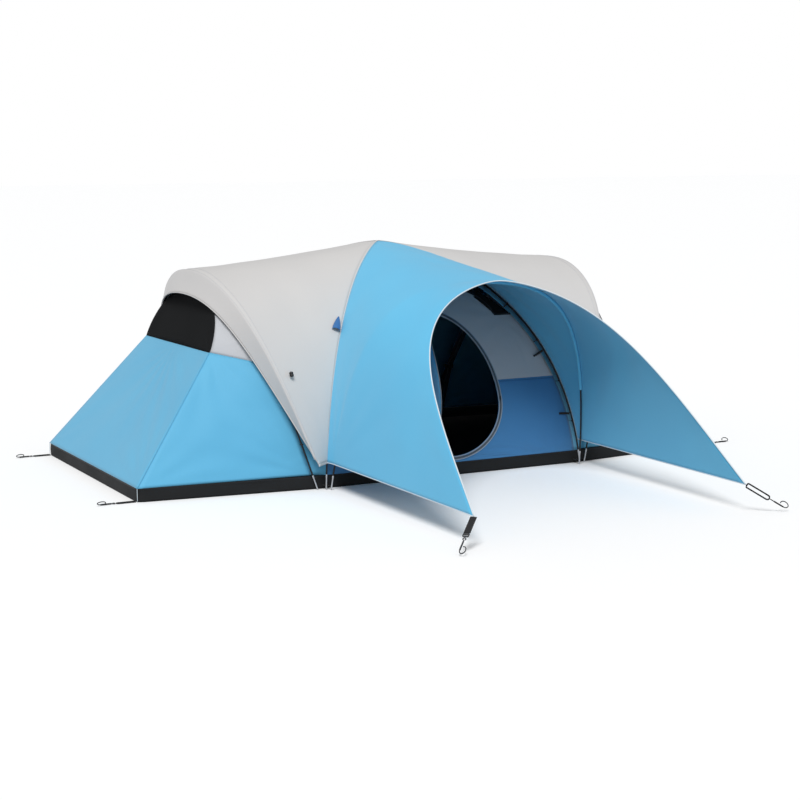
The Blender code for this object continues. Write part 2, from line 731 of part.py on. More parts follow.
def make_door(collection, materials):
    """Make the door flap, flat, standing ajar on the doorway's left edge."""
    centre, up = door_hinge()
    angle = np.linspace(0.0, math.pi, 13)
    below = DOOR_MIDDLE - (DOOR_MIDDLE - DOOR_SILL) * np.cos(angle)
    over = DOOR_MIDDLE - (DOOR_TOP - DOOR_MIDDLE) * np.cos(angle)
    heights = np.where(angle < math.pi / 2, below, over)[1:-1]
    reach = door_half_width(heights)
    share = np.linspace(0.0, 1.0, 5)
    rise = (heights - centre[2]) / up[2]
    left = DOOR_HINGE_MARGIN + DOOR_HALF_WIDTH - reach
    left = np.maximum(left, 0.012)
    right = DOOR_HINGE_MARGIN + DOOR_HALF_WIDTH + reach
    x = left[:, None] * (1.0 - share) + right[:, None] * share
    points = centre + x[..., None] * np.array((1.0, 0.0, 0.0)) + rise[:, None, None] * up
    grid = turn_about(points, centre, up, -DOOR_AJAR)
    part = fabric(collection, "door_panel", [grid], WALL, materials["blue_fabric"])
    set_origin(part, centre)


def set_origin(part, place):
    """Put a part's origin on its joint, with its shape where it was."""
    for vert in part.data.vertices:
        vert.co = [vert.co[axis] - place[axis] for axis in range(3)]
    part.location = place


def make_zip_slider(collection, materials):
    """Make the zip's slider, on the doorway's right edge and just proud of the wall."""
    centre = wall_point(np.array(DOOR_HALF_WIDTH + SLIDER_SIZE[0]), np.array(DOOR_MIDDLE))
    width, depth, height = SLIDER_SIZE
    centre[1] -= WALL / 2 + depth + SLIDER_CLEARANCE
    part = block(collection, "zip_slider", (width, depth, height), centre, materials["black_plastic"])
    pivot = wall_point(np.array(0.0), np.array(DOOR_MIDDLE))
    set_origin(part, pivot)


# ---------------------------------------------------------------- fly sheet


def fly_cross(steps=CURVE_STEPS):
    """Return the fly's seam over the front right half of the crossed poles, hem to peak."""
    lifted = cross_half(steps * 2, lift=POLE_RADIUS * 2)
    return resample(above(push_out(lifted, FLY_OFFSET), HEM_HEIGHT), steps + 1)


def fly_porch(steps=CURVE_STEPS):
    """Return the fly's line over the right half of the porch arch, hem to apex."""
    arch = porch_half(steps * 2)
    heart = np.array((0.0, -HALF_MIDDLE - PORCH_ARCH_REACH * PORCH_HEART[0], PORCH_HEART[1]))
    away = arch - heart
    away = away / np.linalg.norm(away, axis=1)[:, None]
    return resample(above(arch + away * FLY_OFFSET, HEM_HEIGHT), steps + 1)


def make_side_fly(collection, side, mirror, materials):
    """Make a bay's grey fly: brow, turn over the pole, and the slope up to the crossed poles."""
    steps = CURVE_STEPS
    brow = resample(brow_half(steps * 2), steps + 1)
    ridge = resample(ridge_half(steps * 2), steps + 1)
    lip = ruled(brow, fly_shoulder(brow, ridge), 3, 0.0)
    slope = ruled(ridge, fly_cross(steps), 4, 0.0)
    rise = np.linspace(0.0, 1.0, steps + 1)[:, None]
    slope[:, :, 2] -= np.sin(np.linspace(0.0, math.pi, 5))[None, :] * rise**2 * FLY_SAG
    front = np.concatenate((lip, slope), axis=1)
    front = inset(front, SEAM_GAP)
    back = (front * MIRROR_Y)[::-1]
    grid = np.concatenate((front, back[1:]), axis=0)
    fabric(collection, f"fly_{side}", [grid * mirror], FLY, materials["grey_fabric"])


def whole_arch(half):
    """Return a line from the left foot over the top to the right foot, from its right half."""
    left = half * MIRROR_X
    return np.vstack((left, half[::-1][1:]))


def make_front_fly(collection, materials):
    """Make the blue roof between the crossed poles and the porch arch, and the porch's two wings."""
    steps = CURVE_STEPS
    seam = fly_cross(steps)
    porch = fly_porch(steps)
    roof = ruled(whole_arch(seam), whole_arch(porch), 4, SEAM_GAP)
    fabric(collection, "fly_front", [roof], FLY, materials["blue_fabric"])
    edge = resample(wing_edge_half(steps * 2), steps + 1)
    wing = ruled(porch, edge, 5, SEAM_GAP)
    wing[-1, :, 0] = SEAM_GAP / 2
    for side, mirror in (("right", np.ones(3)), ("left", MIRROR_X)):
        fabric(collection, f"wing_{side}", [wing * mirror], FLY, materials["blue_fabric"])


def make_back_fly(collection, materials):
    """Make the blue panel between the back halves of the crossed poles, slightly full."""
    seam = fly_cross() * MIRROR_Y
    seam = seam[:-1]
    share = np.linspace(-1.0, 1.0, 7)[None, :]
    grid = np.zeros((len(seam), 7, 3))
    grid[:, :, 0] = seam[:, :1] * share
    fullness = (1.0 - share**2) * BACK_BELLY * (seam[:, :1] / HALF_SPAN)
    grid[:, :, 1] = seam[:, 1:2] + fullness
    grid[:, :, 2] = seam[:, 2:]
    fabric(collection, "fly_back", [inset(grid, SEAM_GAP)], FLY, materials["blue_fabric"])


# ---------------------------------------------------------------- divider curtain


def curtain_line():
    """Return the gathered curtain's middle line, top, tie and foot."""
    bay_top = ARC_HEIGHT - INNER_OFFSET - BAY_SLACK
    middle_top = PEAK_HEIGHT - INNER_OFFSET - ROOF_BELOW_PEAK
    share = CURTAIN_X / (HALF_LENGTH - ARC_INSET_FROM_END)
    top = middle_top * (1.0 - share) + bay_top * share - CURTAIN_BELOW_ROOF
    return np.array([(CURTAIN_X, *place) for place in ((CURTAIN_TOP_Y, top), CURTAIN_TIE, CURTAIN_FOOT)])


def loft_round(name, centres, radii, sides=10):
    """Return a closed mesh of level ellipses about a line of centres."""
    builder = bmesh.new()
    rings = []
    for centre, radius in zip(centres, radii):
        ring = []
        for index in range(sides):
            angle = 2.0 * math.pi * index / sides
            place = (
                centre[0] + radius * math.cos(angle),
                centre[1] + radius * math.sin(angle),
                centre[2],
            )
            ring.append(builder.verts.new(place))
        rings.append(ring)
    for lower, upper in zip(rings, rings[1:]):
        for index in range(sides):
            following = (index + 1) % sides
            builder.faces.new((lower[index], lower[following], upper[following], upper[index]))
    builder.faces.new(rings[0])
    builder.faces.new(rings[-1])
    bmesh.ops.recalc_face_normals(builder, faces=builder.faces)
    mesh = bpy.data.meshes.new(name)
    builder.to_mesh(mesh)
    builder.free()
    return mesh


def make_curtain(collection, materials):
    """Make the room divider, gathered and tied back, in two lengths either side of its tie."""
    top, tie, foot = curtain_line()
    down = (foot - top) / np.linalg.norm(foot - top)
    half_tie = TIE_WIDTH / 2
    share = np.linspace(0.0, 1.0, 6)[:, None]
    upper = top * (1.0 - share) + tie * share
    lower = tie * (1.0 - share) + foot * share
    line = np.vstack((upper, lower[1:]))
    radius = np.interp(
        np.linalg.norm(line - top, axis=1),
        (0.0, np.linalg.norm(tie - top), np.linalg.norm(foot - top)),
        CURTAIN_RADII,
    )
    mesh = loft_round("divider_curtain", line[::-1], radius[::-1])
    link(collection, "divider_curtain", mesh, materials["curtain_fabric"])
    ring = bpy.data.meshes.new("curtain_tie")
    builder = bmesh.new()
    inner = CURTAIN_RADII[1] + TIE_CLEARANCE
    outer = inner + TIE_BAND
    rings = []
    for radius_now, height in ((inner, -half_tie), (outer, -half_tie), (outer, half_tie), (inner, half_tie)):
        centre = tie + down * (height / down[2])
        circle = []
        for index in range(12):
            angle = 2.0 * math.pi * index / 12
            circle.append(
                builder.verts.new(
                    (
                        centre[0] + radius_now * math.cos(angle),
                        centre[1] + radius_now * math.sin(angle),
                        tie[2] + height,
                    )
                )
            )
        rings.append(circle)
    for first, second in zip(rings, rings[1:] + rings[:1]):
        for index in range(12):
            following = (index + 1) % 12
            builder.faces.new((first[index], first[following], second[following], second[index]))
    bmesh.ops.recalc_face_normals(builder, faces=builder.faces)
    builder.to_mesh(ring)
    builder.free()
    link(collection, "curtain_tie", ring, materials["black_webbing"])


# ---------------------------------------------------------------- ground gear


def hook_points(start, direction):
    """Return a wire hook's line: an eye, a straight shank and a bow bent back on itself."""
    along = np.array(direction) / np.linalg.norm(direction)
    level = np.cross((0.0, 0.0, 1.0), along)
    level = level / np.linalg.norm(level)
    points = []
    for step in range(1, 9):
        angle = math.pi * (0.20 + 1.75 * step / 8.0)
        points.append(start + HOOK_EYE * (math.cos(angle) * along + math.sin(angle) * level))
    base = start + along * (HOOK_EYE + HOOK_SHANK)
    points.append(start + along * HOOK_EYE * 2.2)
    points.append(base)
    for step in range(1, 11):
        angle = math.pi * 1.45 * step / 10.0
        side = HOOK_BOW * (1.0 - math.cos(angle))
        points.append(base + along * HOOK_BOW * 1.6 * math.sin(angle) + level * side)
    return np.array(points)


def make_hook(collection, name, start, direction, materials):
    """Make one ground hook, with its origin at its eye."""
    points = hook_points(np.array(start), direction) - np.array(start)
    part = rod(collection, name, points, HOOK_WIRE, materials["wire_hook"], resolution=1)
    part.location = start


def loop_points(anchor, eye):
    """Return an elastic loop's line: out along one side, round the hook's eye and back."""
    anchor = np.array(anchor)
    eye = np.array(eye)
    along = eye - anchor
    length = float(np.linalg.norm(along))
    along = along / length
    level = np.cross((0.0, 0.0, 1.0), along)
    level = level / np.linalg.norm(level)
    half = LOOP_WIDTH / 2
    out = [anchor + along * length * share + level * half for share in (0.0, 0.5, 1.0)]
    bend = []
    for step in range(1, 6):
        angle = math.pi * step / 6.0
        bend.append(eye + half * (math.sin(angle) * along + math.cos(angle) * level))
    back = [anchor + along * length * share - level * half for share in (1.0, 0.5, 0.0)]
    return np.array(out + bend + back)


def make_corner_gear(collection, materials):
    """Make an elastic loop and a ground hook at each corner of the tub, lying on the ground."""
    for end, x_sign in (("right", 1.0), ("left", -1.0)):
        for side, y_sign in (("front", -1.0), ("back", 1.0)):
            anchor = (x_sign * (HALF_LENGTH + LOOP_RADIUS + TOUCH_GAP), y_sign * (HALF_END - LOOP_FROM_CORNER), GROUND_REST)
            eye = (x_sign * (HALF_LENGTH + LOOP_LENGTH), y_sign * (HALF_END - LOOP_FROM_CORNER), GROUND_REST)
            name = f"{side}_{end}"
            rod(
                collection,
                f"corner_loop_{name}",
                loop_points(anchor, eye),
                LOOP_RADIUS,
                materials["black_webbing"],
                resolution=1,
            )
            start = (eye[0] + x_sign * LOOP_TO_HOOK, eye[1], eye[2])
            make_hook(collection, f"hook_{name}", start, (x_sign, 0.0, 0.0), materials)


def make_wing_gear(collection, materials):
    """Make the right wing's elastic loop, the left wing's strap and buckle, and both their hooks."""
    tip = np.array((WING_TIP_HALF_SPAN, -WING_REACH, WING_TIP_HEIGHT))
    right_way = np.array(RIGHT_WING_PULL)
    right_way = right_way / np.linalg.norm(right_way)
    anchor = tip + right_way * GEAR_START
    eye = anchor + right_way * WING_LOOP_LENGTH
    rod(
        collection,
        "wing_loop_right",
        loop_points(anchor, eye),
        LOOP_RADIUS,
        materials["black_webbing"],
        resolution=1,
    )
    start = eye + right_way * LOOP_TO_HOOK
    make_hook(collection, "hook_wing_right", start, right_way, materials)
    left_tip = tip * MIRROR_X
    left_way = np.array(LEFT_WING_PULL)
    left_way = left_way / np.linalg.norm(left_way)
    level = np.cross((0.0, 0.0, 1.0), left_way)
    level = level / np.linalg.norm(level)
    face = np.cross(left_way, level)
    axes = (level, face, left_way)
    middle = left_tip + left_way * (GEAR_START + STRAP_LENGTH / 2)
    block(
        collection,
        "wing_strap_left",
        (STRAP_WIDTH, STRAP_THICKNESS, STRAP_LENGTH),
        middle,
        materials["black_webbing"],
        axes,
    )
    buckle_at = left_tip + left_way * (GEAR_START + STRAP_LENGTH + TOUCH_GAP + BUCKLE_SIZE[2] / 2)
    part = block(
        collection, "ladder_lock", BUCKLE_SIZE, buckle_at, materials["black_plastic"], axes, bevel=0.002
    )
    set_origin(part, buckle_at)
    start = left_tip + left_way * (GEAR_START + STRAP_LENGTH + BUCKLE_SIZE[2] + HOOK_EYE + HOOK_WIRE + 2 * HOOK_PLAY)
    make_hook(collection, "hook_wing_left", start, left_way, materials)


# ---------------------------------------------------------------- small fittings


def make_hoods(collection, materials):
    """Make the two small vent hoods on the crossed poles' front seams."""
    seam = between(fly_cross(28), HOOD_FOOT, HOOD_FOOT + HOOD_LENGTH, 1)
    ridge = between(ridge_half(28), HOOD_FOOT, HOOD_FOOT + HOOD_LENGTH, 1)
    for side, mirror in (("right", np.ones(3)), ("left", MIRROR_X)):
        up = (seam[1] - seam[0]) / np.linalg.norm(seam[1] - seam[0])
        across = ridge[0] - seam[0]
        across = across - up * float(across @ up)
        level = across / np.linalg.norm(across)
        out = np.cross(level, up)
        out = out * math.copysign(1.0, float(out @ (0.0, -1.0, 1.0)))
        foot = seam[0] + level * (HOOD_WIDTH / 2 + HOOD_FROM_SEAM)
        foot = foot + out * (FLY + HOOD_STANDOFF)
        corners = [
            foot + up * HOOD_LENGTH,
            foot - level * HOOD_WIDTH / 2,
            foot + level * HOOD_WIDTH / 2,
            foot + out * HOOD_DEPTH,
        ]
        builder = bmesh.new()
        verts = [builder.verts.new(point * mirror) for point in corners]
        for trio in ((0, 1, 2), (0, 2, 3), (0, 3, 1), (1, 3, 2)):
            builder.faces.new([verts[index] for index in trio])
        bmesh.ops.recalc_face_normals(builder, faces=builder.faces)
        mesh = bpy.data.meshes.new(f"vent_hood_{side}")
        builder.to_mesh(mesh)
        builder.free()
        part = link(collection, f"vent_hood_{side}", mesh, materials["blue_fabric"])
        set_origin(part, corners[0] * mirror)


def toggle_place():
    """Return where the right bay's cord lock hangs on the fly, with the fly's outward and downward directions."""
    row = int(round(TOGGLE_UP_THE_FLY * 2 * CURVE_STEPS))
    ridge = resample(ridge_half(CURVE_STEPS * 2), 2 * CURVE_STEPS + 1)
    seam = fly_cross(2 * CURVE_STEPS)
    across = seam[row] - ridge[row]
    root = ridge[row] + across * TOGGLE_PAST_RIDGE
    square = np.cross(ridge[row + 1] - ridge[row - 1], across)
    square = square / np.linalg.norm(square) * math.copysign(1.0, -square[1])
    down = np.array((0.0, 0.0, -1.0)) + square * square[2]
    return root, square, down / np.linalg.norm(down)


def make_toggles(collection, materials):
    """Make the cord lock that hangs on the front of each bay's fly, on its own short cord."""
    root, square, down = toggle_place()
    spot = root + square * (TOGGLE_RADIUS + TOGGLE_STANDOFF)
    for side, mirror in (("right", np.ones(3)), ("left", MIRROR_X)):
        line = np.array((np.zeros(3), down * TOGGLE_LENGTH)) * mirror
        part = rod(collection, f"cord_lock_{side}", line, TOGGLE_RADIUS, materials["black_plastic"])
        part.location = spot * mirror


def main():
    """Build the tent."""
    clear_scene()
    collection = bpy.data.collections.new("tunnel_tent")
    bpy.context.scene.collection.children.link(collection)
    materials = make_materials()
    make_floor(collection, materials)
    make_poles(collection, materials)
    for side, mirror in (("right", np.ones(3)), ("left", MIRROR_X)):
        make_lower_wall(collection, side, mirror, materials)
        make_window(collection, side, mirror, materials)
        make_upper_wall(collection, side, mirror, materials)
        make_inner_roof(collection, side, mirror, materials)
        make_side_fly(collection, side, mirror, materials)
    make_front_walls(collection, materials)
    make_back_walls(collection, materials)
    make_roof_mesh(collection, materials)
    make_door(collection, materials)
    make_zip_slider(collection, materials)
    make_front_fly(collection, materials)
    make_back_fly(collection, materials)
    make_curtain(collection, materials)
    make_corner_gear(collection, materials)
    make_wing_gear(collection, materials)
    make_hoods(collection, materials)
    make_toggles(collection, materials)


main()
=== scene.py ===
"""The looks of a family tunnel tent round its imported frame: cloth, poles, trims, ties and ground gear."""

import logging
import math
from collections.abc import Mapping, Sequence
from dataclasses import dataclass, field
from enum import Enum

import bmesh
import bpy
import numpy as np
from mathutils import Matrix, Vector
from numpy.typing import NDArray


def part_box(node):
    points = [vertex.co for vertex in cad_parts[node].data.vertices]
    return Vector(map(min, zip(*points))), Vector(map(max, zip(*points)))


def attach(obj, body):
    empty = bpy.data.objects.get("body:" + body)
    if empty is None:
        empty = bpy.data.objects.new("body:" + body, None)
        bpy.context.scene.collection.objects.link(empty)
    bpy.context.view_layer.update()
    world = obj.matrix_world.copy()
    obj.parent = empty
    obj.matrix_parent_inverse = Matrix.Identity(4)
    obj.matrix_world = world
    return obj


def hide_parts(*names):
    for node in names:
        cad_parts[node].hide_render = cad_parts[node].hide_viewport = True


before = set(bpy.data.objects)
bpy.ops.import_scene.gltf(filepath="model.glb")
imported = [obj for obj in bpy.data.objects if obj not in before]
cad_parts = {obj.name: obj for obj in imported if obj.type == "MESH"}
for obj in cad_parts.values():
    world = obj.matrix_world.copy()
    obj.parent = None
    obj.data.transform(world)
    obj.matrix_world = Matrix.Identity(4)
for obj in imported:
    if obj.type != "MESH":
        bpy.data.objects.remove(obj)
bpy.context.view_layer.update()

Array = NDArray[np.float64]
LOG = logging.getLogger("tunnel_tent")
MIRROR_X: Array = np.array((-1.0, 1.0, 1.0))
MIRROR_Y: Array = np.array((1.0, -1.0, 1.0))
SAME: Array = np.ones(3)
UP: Array = np.array((0.0, 0.0, 1.0))
ACROSS: Array = np.array((1.0, 0.0, 0.0))
FORWARD: Array = np.array((0.0, -1.0, 0.0))
HEART: Array = np.array((0.0, 0.0, 0.35))
HEART_SHARES: Array = np.array((0.35, 1.0, 1.0))
WAVE_SCALE = 0.314
Tone = tuple[int, int, int]


class Side(Enum):
    """The two ends of the tent."""

    RIGHT = "right"
    LEFT = "left"

    @property
    def mirror(self) -> Array:
        """Return the factors that carry the right end's shape to this end."""
        return SAME if self is Side.RIGHT else MIRROR_X


# ------------------------------------------------------------------ finishes


def linear(red: int, green: int, blue: int) -> tuple[float, float, float, float]:
    """Turn a colour in display steps of 0 to 255 into the shader's linear values.

    Args:
        red: Red step.
        green: Green step.
        blue: Blue step.

    Returns:
        The linear colour with an alpha of one.
    """
    steps = np.array((red, green, blue)) / 255.0
    curve = np.where(steps <= 0.04045, steps / 12.92, ((steps + 0.055) / 1.055) ** 2.4)
    return (*curve.tolist(), 1.0)


@dataclass
class Graph:
    """A new material's nodes, with the steps that the finishes share."""

    name: str

    def __post_init__(self) -> None:
        """Make the material and its shader."""
        self.material = bpy.data.materials.new(self.name)
        self.material.use_nodes = True
        self.tree = self.material.node_tree
        self.shader = self.tree.nodes["Principled BSDF"]

    def dress(self, values: dict[str, float]) -> None:
        """Set the shader's constants."""
        for socket, value in values.items():
            self.shader.inputs[socket].default_value = value

    def node(self, kind: str, values: dict[str, float]) -> bpy.types.Node:
        """Add a node and set its constants.

        Args:
            kind: The node's type.
            values: The constants by socket.

        Returns:
            The node.
        """
        made = self.tree.nodes.new(kind)
        for socket, value in values.items():
            made.inputs[socket].default_value = value
        return made

    def noise(self, values: dict[str, float]) -> bpy.types.NodeSocket:
        """Return a noise in the piece's own space, with the given settings."""
        place = self.node("ShaderNodeTexCoord", {})
        noise = self.node("ShaderNodeTexNoise", values)
        self.tree.links.new(place.outputs["Object"], noise.inputs["Vector"])
        return noise.outputs["Fac"]

    def bands(self, spacing: float, operation: str) -> bpy.types.NodeSocket:
        """Return two sets of bands at right angles on the cloth map, joined by a maths operation.

        Args:
            spacing: Metres from band to band.
            operation: How the two are joined.

        Returns:
            The joined value.
        """
        cloth_map = self.node("ShaderNodeUVMap", {})
        cloth_map.uv_map = "cloth"
        joined = self.node("ShaderNodeMath", {})
        joined.operation = operation
        for index, direction in enumerate("XY"):
            wave = self.node("ShaderNodeTexWave", {"Scale": WAVE_SCALE / spacing})
            wave.bands_direction = direction
            self.tree.links.new(cloth_map.outputs["UV"], wave.inputs["Vector"])
            self.tree.links.new(wave.outputs["Fac"], joined.inputs[index])
        return joined.outputs["Value"]

    def tones(self, factor: bpy.types.NodeSocket, first: Tone, second: Tone) -> None:
        """Colour the shader with a mix of two tones.

        Args:
            factor: The share of the second tone.
            first: One tone.
            second: The other tone.
        """
        mix = self.tree.nodes.new("ShaderNodeMix")
        mix.data_type = "RGBA"
        mix.inputs["A"].default_value = linear(*first)
        mix.inputs["B"].default_value = linear(*second)
        self.tree.links.new(factor, mix.inputs["Factor"])
        self.tree.links.new(mix.outputs["Result"], self.shader.inputs["Base Color"])

    def bump(self, height: bpy.types.NodeSocket, strength: float, depth: float) -> None:
        """Raise the shader's surface by a height, on top of any bump before it.

        Args:
            height: The height's socket.
            strength: How much of the bump shows.
            depth: Metres that a height of one stands for.
        """
        bump = self.node("ShaderNodeBump", {"Strength": strength, "Distance": depth})
        self.tree.links.new(height, bump.inputs["Height"])
        normal = self.shader.inputs["Normal"]
        if normal.links:
            self.tree.links.new(normal.links[0].from_socket, bump.inputs["Normal"])
        self.tree.links.new(bump.outputs["Normal"], normal)


@dataclass(frozen=True)
class ClothFinish:
    """A woven cloth: two tones that drift, a plain weave and soft crumple in its bump."""

    name: str
    tone: Tone
    drift: Tone
    roughness: float = 0.62
    sheen: float = 0.25
    weave: float = 0.0016
    weave_depth: float = 0.00012
    crumple: float = 0.0011
    gloss: float = 0.3

    def make(self) -> bpy.types.Material:
        """Build the cloth's material, which reads the piece's own cloth map for its weave."""
        graph = Graph(self.name)
        graph.dress({"Roughness": self.roughness, "Sheen Weight": self.sheen, "Sheen Roughness": 0.5})
        graph.dress({"Specular IOR Level": self.gloss})
        graph.tones(graph.noise({"Scale": 1.7, "Detail": 3.0}), self.tone, self.drift)
        graph.bump(graph.bands(self.weave, "MULTIPLY"), 0.35, self.weave_depth)
        graph.bump(graph.noise({"Scale": 9.0, "Detail": 4.0, "Distortion": 0.7}), 0.5, self.crumple)
        return graph.material


@dataclass(frozen=True)
class SolidFinish:
    """A smooth hard finish with a mottled tone and fine scratches in its bump."""

    name: str
    tone: Tone
    worn: Tone
    roughness: float
    metallic: float = 0.0
    grain: float = 160.0
    depth: float = 0.0002

    def make(self) -> bpy.types.Material:
        """Build the finish's material, patterned in the piece's own space."""
        graph = Graph(self.name)
        graph.dress({"Metallic": self.metallic})
        mottle = graph.noise({"Scale": self.grain, "Detail": 4.0})
        graph.tones(mottle, self.tone, self.worn)
        low, high = max(0.05, self.roughness - 0.10), self.roughness + 0.10
        rough = graph.node("ShaderNodeMapRange", {"To Min": low, "To Max": high})
        graph.tree.links.new(mottle, rough.inputs["Value"])
        graph.tree.links.new(rough.outputs["Result"], graph.shader.inputs["Roughness"])
        graph.bump(mottle, 0.3, self.depth)
        return graph.material


@dataclass(frozen=True)
class NettingFinish:
    """Fine insect netting: square holes between dark threads, on the cloth map."""

    name: str
    tone: Tone
    pitch: float = 0.004
    hole_shade: float = 0.55

    def make(self) -> bpy.types.Material:
        """Build the netting's material, with its threads raised and its holes darker."""
        graph = Graph(self.name)
        graph.dress({"Roughness": 0.85, "Specular IOR Level": 0.1})
        threads = graph.bands(self.pitch, "MAXIMUM")
        red, green, blue = (int(step * self.hole_shade) for step in self.tone)
        graph.tones(threads, (red, green, blue), self.tone)
        graph.bump(threads, 0.4, 0.0004)
        return graph.material


class Finishes:
    """Every finish on the tent, made once."""

    def __init__(self) -> None:
        """Make the materials."""
        self.fly_blue = ClothFinish("fly_blue", (89, 181, 222), (97, 189, 228)).make()
        self.wall_blue = ClothFinish("wall_blue", (88, 169, 207), (96, 177, 213)).make()
        # A darker copy of the walls' blue cloth: painted shade for the middle room's walls, which lie in the
        # porch's shadow, and for the dim room behind them.
        self.shaded_room_blue = ClothFinish("shaded_room_blue", (58, 118, 168), (66, 126, 176)).make()
        self.hood_blue = ClothFinish("hood_blue", (44, 98, 156), (52, 108, 166)).make()
        self.fly_grey = ClothFinish("fly_grey", (197, 195, 194), (204, 202, 200)).make()
        self.wall_grey = ClothFinish("wall_grey", (182, 184, 188), (190, 192, 196)).make()
        self.tub_black = ClothFinish(
            "tub_black", (32, 33, 34), (40, 41, 42), 0.6, 0.02, 0.003, gloss=0.12
        ).make()
        # The curtain's dark navy cloth, made darker still as painted shade of the dim room inside.
        self.shaded_lining = ClothFinish("shaded_lining", (40, 58, 84), (50, 70, 96), 0.8).make()
        self.netting = NettingFinish("netting", (26, 27, 28)).make()
        self.piping = ClothFinish("piping", (206, 218, 226), (216, 226, 232), 0.5, 0.1).make()
        self.soft_piping = ClothFinish("soft_piping", (150, 164, 178), (162, 176, 190), 0.6, 0.1).make()
        self.webbing = ClothFinish("webbing", (24, 24, 26), (34, 34, 36), 0.75, 0.1, 0.0024, 0.0004).make()
        self.zip_tape = ClothFinish("zip_tape", (96, 108, 120), (106, 118, 130), 0.7, 0.1).make()
        self.fibreglass = SolidFinish("fibreglass", (20, 20, 21), (30, 30, 32), 0.34).make()
        self.ferrule = SolidFinish("ferrule", (58, 59, 62), (74, 75, 78), 0.35, 0.7).make()
        self.steel = SolidFinish("steel", (206, 207, 210), (228, 229, 231), 0.3, 0.85).make()
        self.wire = SolidFinish("wire", (36, 37, 40), (52, 53, 56), 0.42, 0.4).make()
        self.nylon = SolidFinish("nylon", (22, 22, 24), (32, 32, 34), 0.45).make()


# ------------------------------------------------------------------ curves and surfaces


def bezier(start: Array, pull_start: Array, pull_end: Array, end: Array, steps: int) -> Array:
    """Return points on a cubic curve, the four controls weighted by Bernstein's polynomials.

    Args:
        start: First point.
        pull_start: Control that the curve leaves towards.
        pull_end: Control that the curve arrives from.
        end: Last point.
        steps: Number of spans.

    Returns:
        The points, one more than the spans.
    """
    t = np.linspace(0.0, 1.0, steps + 1)[:, None]
    rest = 1.0 - t
    return rest**3 * start + 3 * rest**2 * t * pull_start + 3 * rest * t**2 * pull_end + t**3 * end


def half_arch(
    foot: Array, apex: Array, foot_pull: float, foot_lean: float, apex_pull: float, steps: int
) -> Array:
    """Return a pole's line from foot to apex, a cubic curve in the plane of both feet and the apex.

    Args:
        foot: The pole's foot.
        apex: The pole's apex.
        foot_pull: Length of the handle at the foot.
        foot_lean: Outward tip of that handle, in radians.
        apex_pull: Length of the level handle at the apex.
        steps: Number of spans.

    Returns:
        The points from foot to apex.
    """
    sideways = (foot - apex) * (1.0, 1.0, 0.0)
    if abs(apex[0]) > abs(apex[1]):
        sideways[0] = 0.0
    elif abs(apex[1]) > 0.0:
        sideways[1] = 0.0
    half_span = float(np.linalg.norm(sideways))
    sideways = sideways / half_span
    middle = foot - sideways * half_span
    height = float(np.linalg.norm(apex - middle))
    rise = (apex - middle) / height
    handle = np.array((half_span + foot_pull * math.sin(foot_lean), foot_pull * math.cos(foot_lean)))
    flat = bezier(
        np.array((half_span, 0.0)), handle, np.array((apex_pull, height)), np.array((0.0, height)), steps
    )
    return middle + flat[:, :1] * sideways + flat[:, 1:] * rise


def push_out(curve: Array, distance: float | Array, heart: Array | None = None) -> Array:
    """Move points away from the tent's long middle axis.

    Args:
        curve: Points of any shape ending in three.
        distance: How far, or one distance for each point.
        heart: The point on that axis.

    Returns:
        The moved points.
    """
    away = curve - (HEART if heart is None else heart)
    if heart is None:
        away = away * HEART_SHARES
        away[..., 2] = np.maximum(away[..., 2], 0.0)
    return curve + away / np.linalg.norm(away, axis=-1, keepdims=True) * distance


def unit(vector: Array) -> Array:
    """Return a vector at length one."""
    return vector / np.linalg.norm(vector)


def run_of(curve: Array) -> Array:
    """Return the distance along a line at each of its points."""
    return np.concatenate(([0.0], np.cumsum(np.linalg.norm(np.diff(curve, axis=0), axis=1))))


def at(curve: Array, key: Array, where: Array) -> Array:
    """Read a curve where a rising key has given values, by straight interpolation.

    Args:
        curve: The points.
        key: A rising value at each point.
        where: The values to read at.

    Returns:
        The points there.
    """
    return np.stack([np.interp(where, key, curve[:, axis]) for axis in range(3)], axis=-1)


def resample(curve: Array, count: int) -> Array:
    """Return a line as evenly spaced points."""
    run = run_of(curve)
    return at(curve, run, np.linspace(0.0, run[-1], count))


def between(curve: Array, low: float, high: float, count: int) -> Array:
    """Return the stretch of a rising curve between two heights.

    Args:
        curve: The rising points.
        low: Lower height.
        high: Upper height.
        count: How many points.

    Returns:
        The stretch, evenly spaced in the curve's own course.
    """
    order = np.arange(len(curve), dtype=float)
    ends = np.interp((low, high), curve[:, 2], order)
    return at(curve, order, np.linspace(ends[0], ends[1], count))


def smooth(curve: Array, times: int) -> Array:
    """Even out a line by averaging each point with its neighbours, ends kept.

    Args:
        curve: The points.
        times: How often.

    Returns:
        The smoother line.
    """
    line = curve.copy()
    for _ in range(times):
        line[1:-1] = (line[:-2] + 2.0 * line[1:-1] + line[2:]) / 4.0
    return line


def ruled(side_a: Array, side_b: Array, columns: int) -> Array:
    """Return the grid of straight rows between two curves.

    Args:
        side_a: First curve.
        side_b: Second curve, with as many points.
        columns: Number of spans across.

    Returns:
        The grid, rows along the curves.
    """
    share = np.linspace(0.0, 1.0, columns + 1)[None, :, None]
    return side_a[:, None, :] * (1.0 - share) + side_b[:, None, :] * share


def grid_normals(grid: Array) -> Array:
    """Return unit normals of a grid, the cross product of its two directions."""
    down = np.gradient(grid, axis=0)
    across = np.gradient(grid, axis=1)
    normal = np.cross(across, down)
    return normal / np.maximum(np.linalg.norm(normal, axis=2, keepdims=True), 1e-9)


def grid_lengths(grid: Array) -> tuple[Array, Array]:
    """Return how far each point of a grid lies along its row and down its column, in metres."""
    across = np.linalg.norm(np.diff(grid, axis=1), axis=2)
    down = np.linalg.norm(np.diff(grid, axis=0), axis=2)
    u = np.concatenate((np.zeros((len(grid), 1)), np.cumsum(across, axis=1)), axis=1)
    v = np.concatenate((np.zeros((1, grid.shape[1])), np.cumsum(down, axis=0)), axis=0)
    return u, v


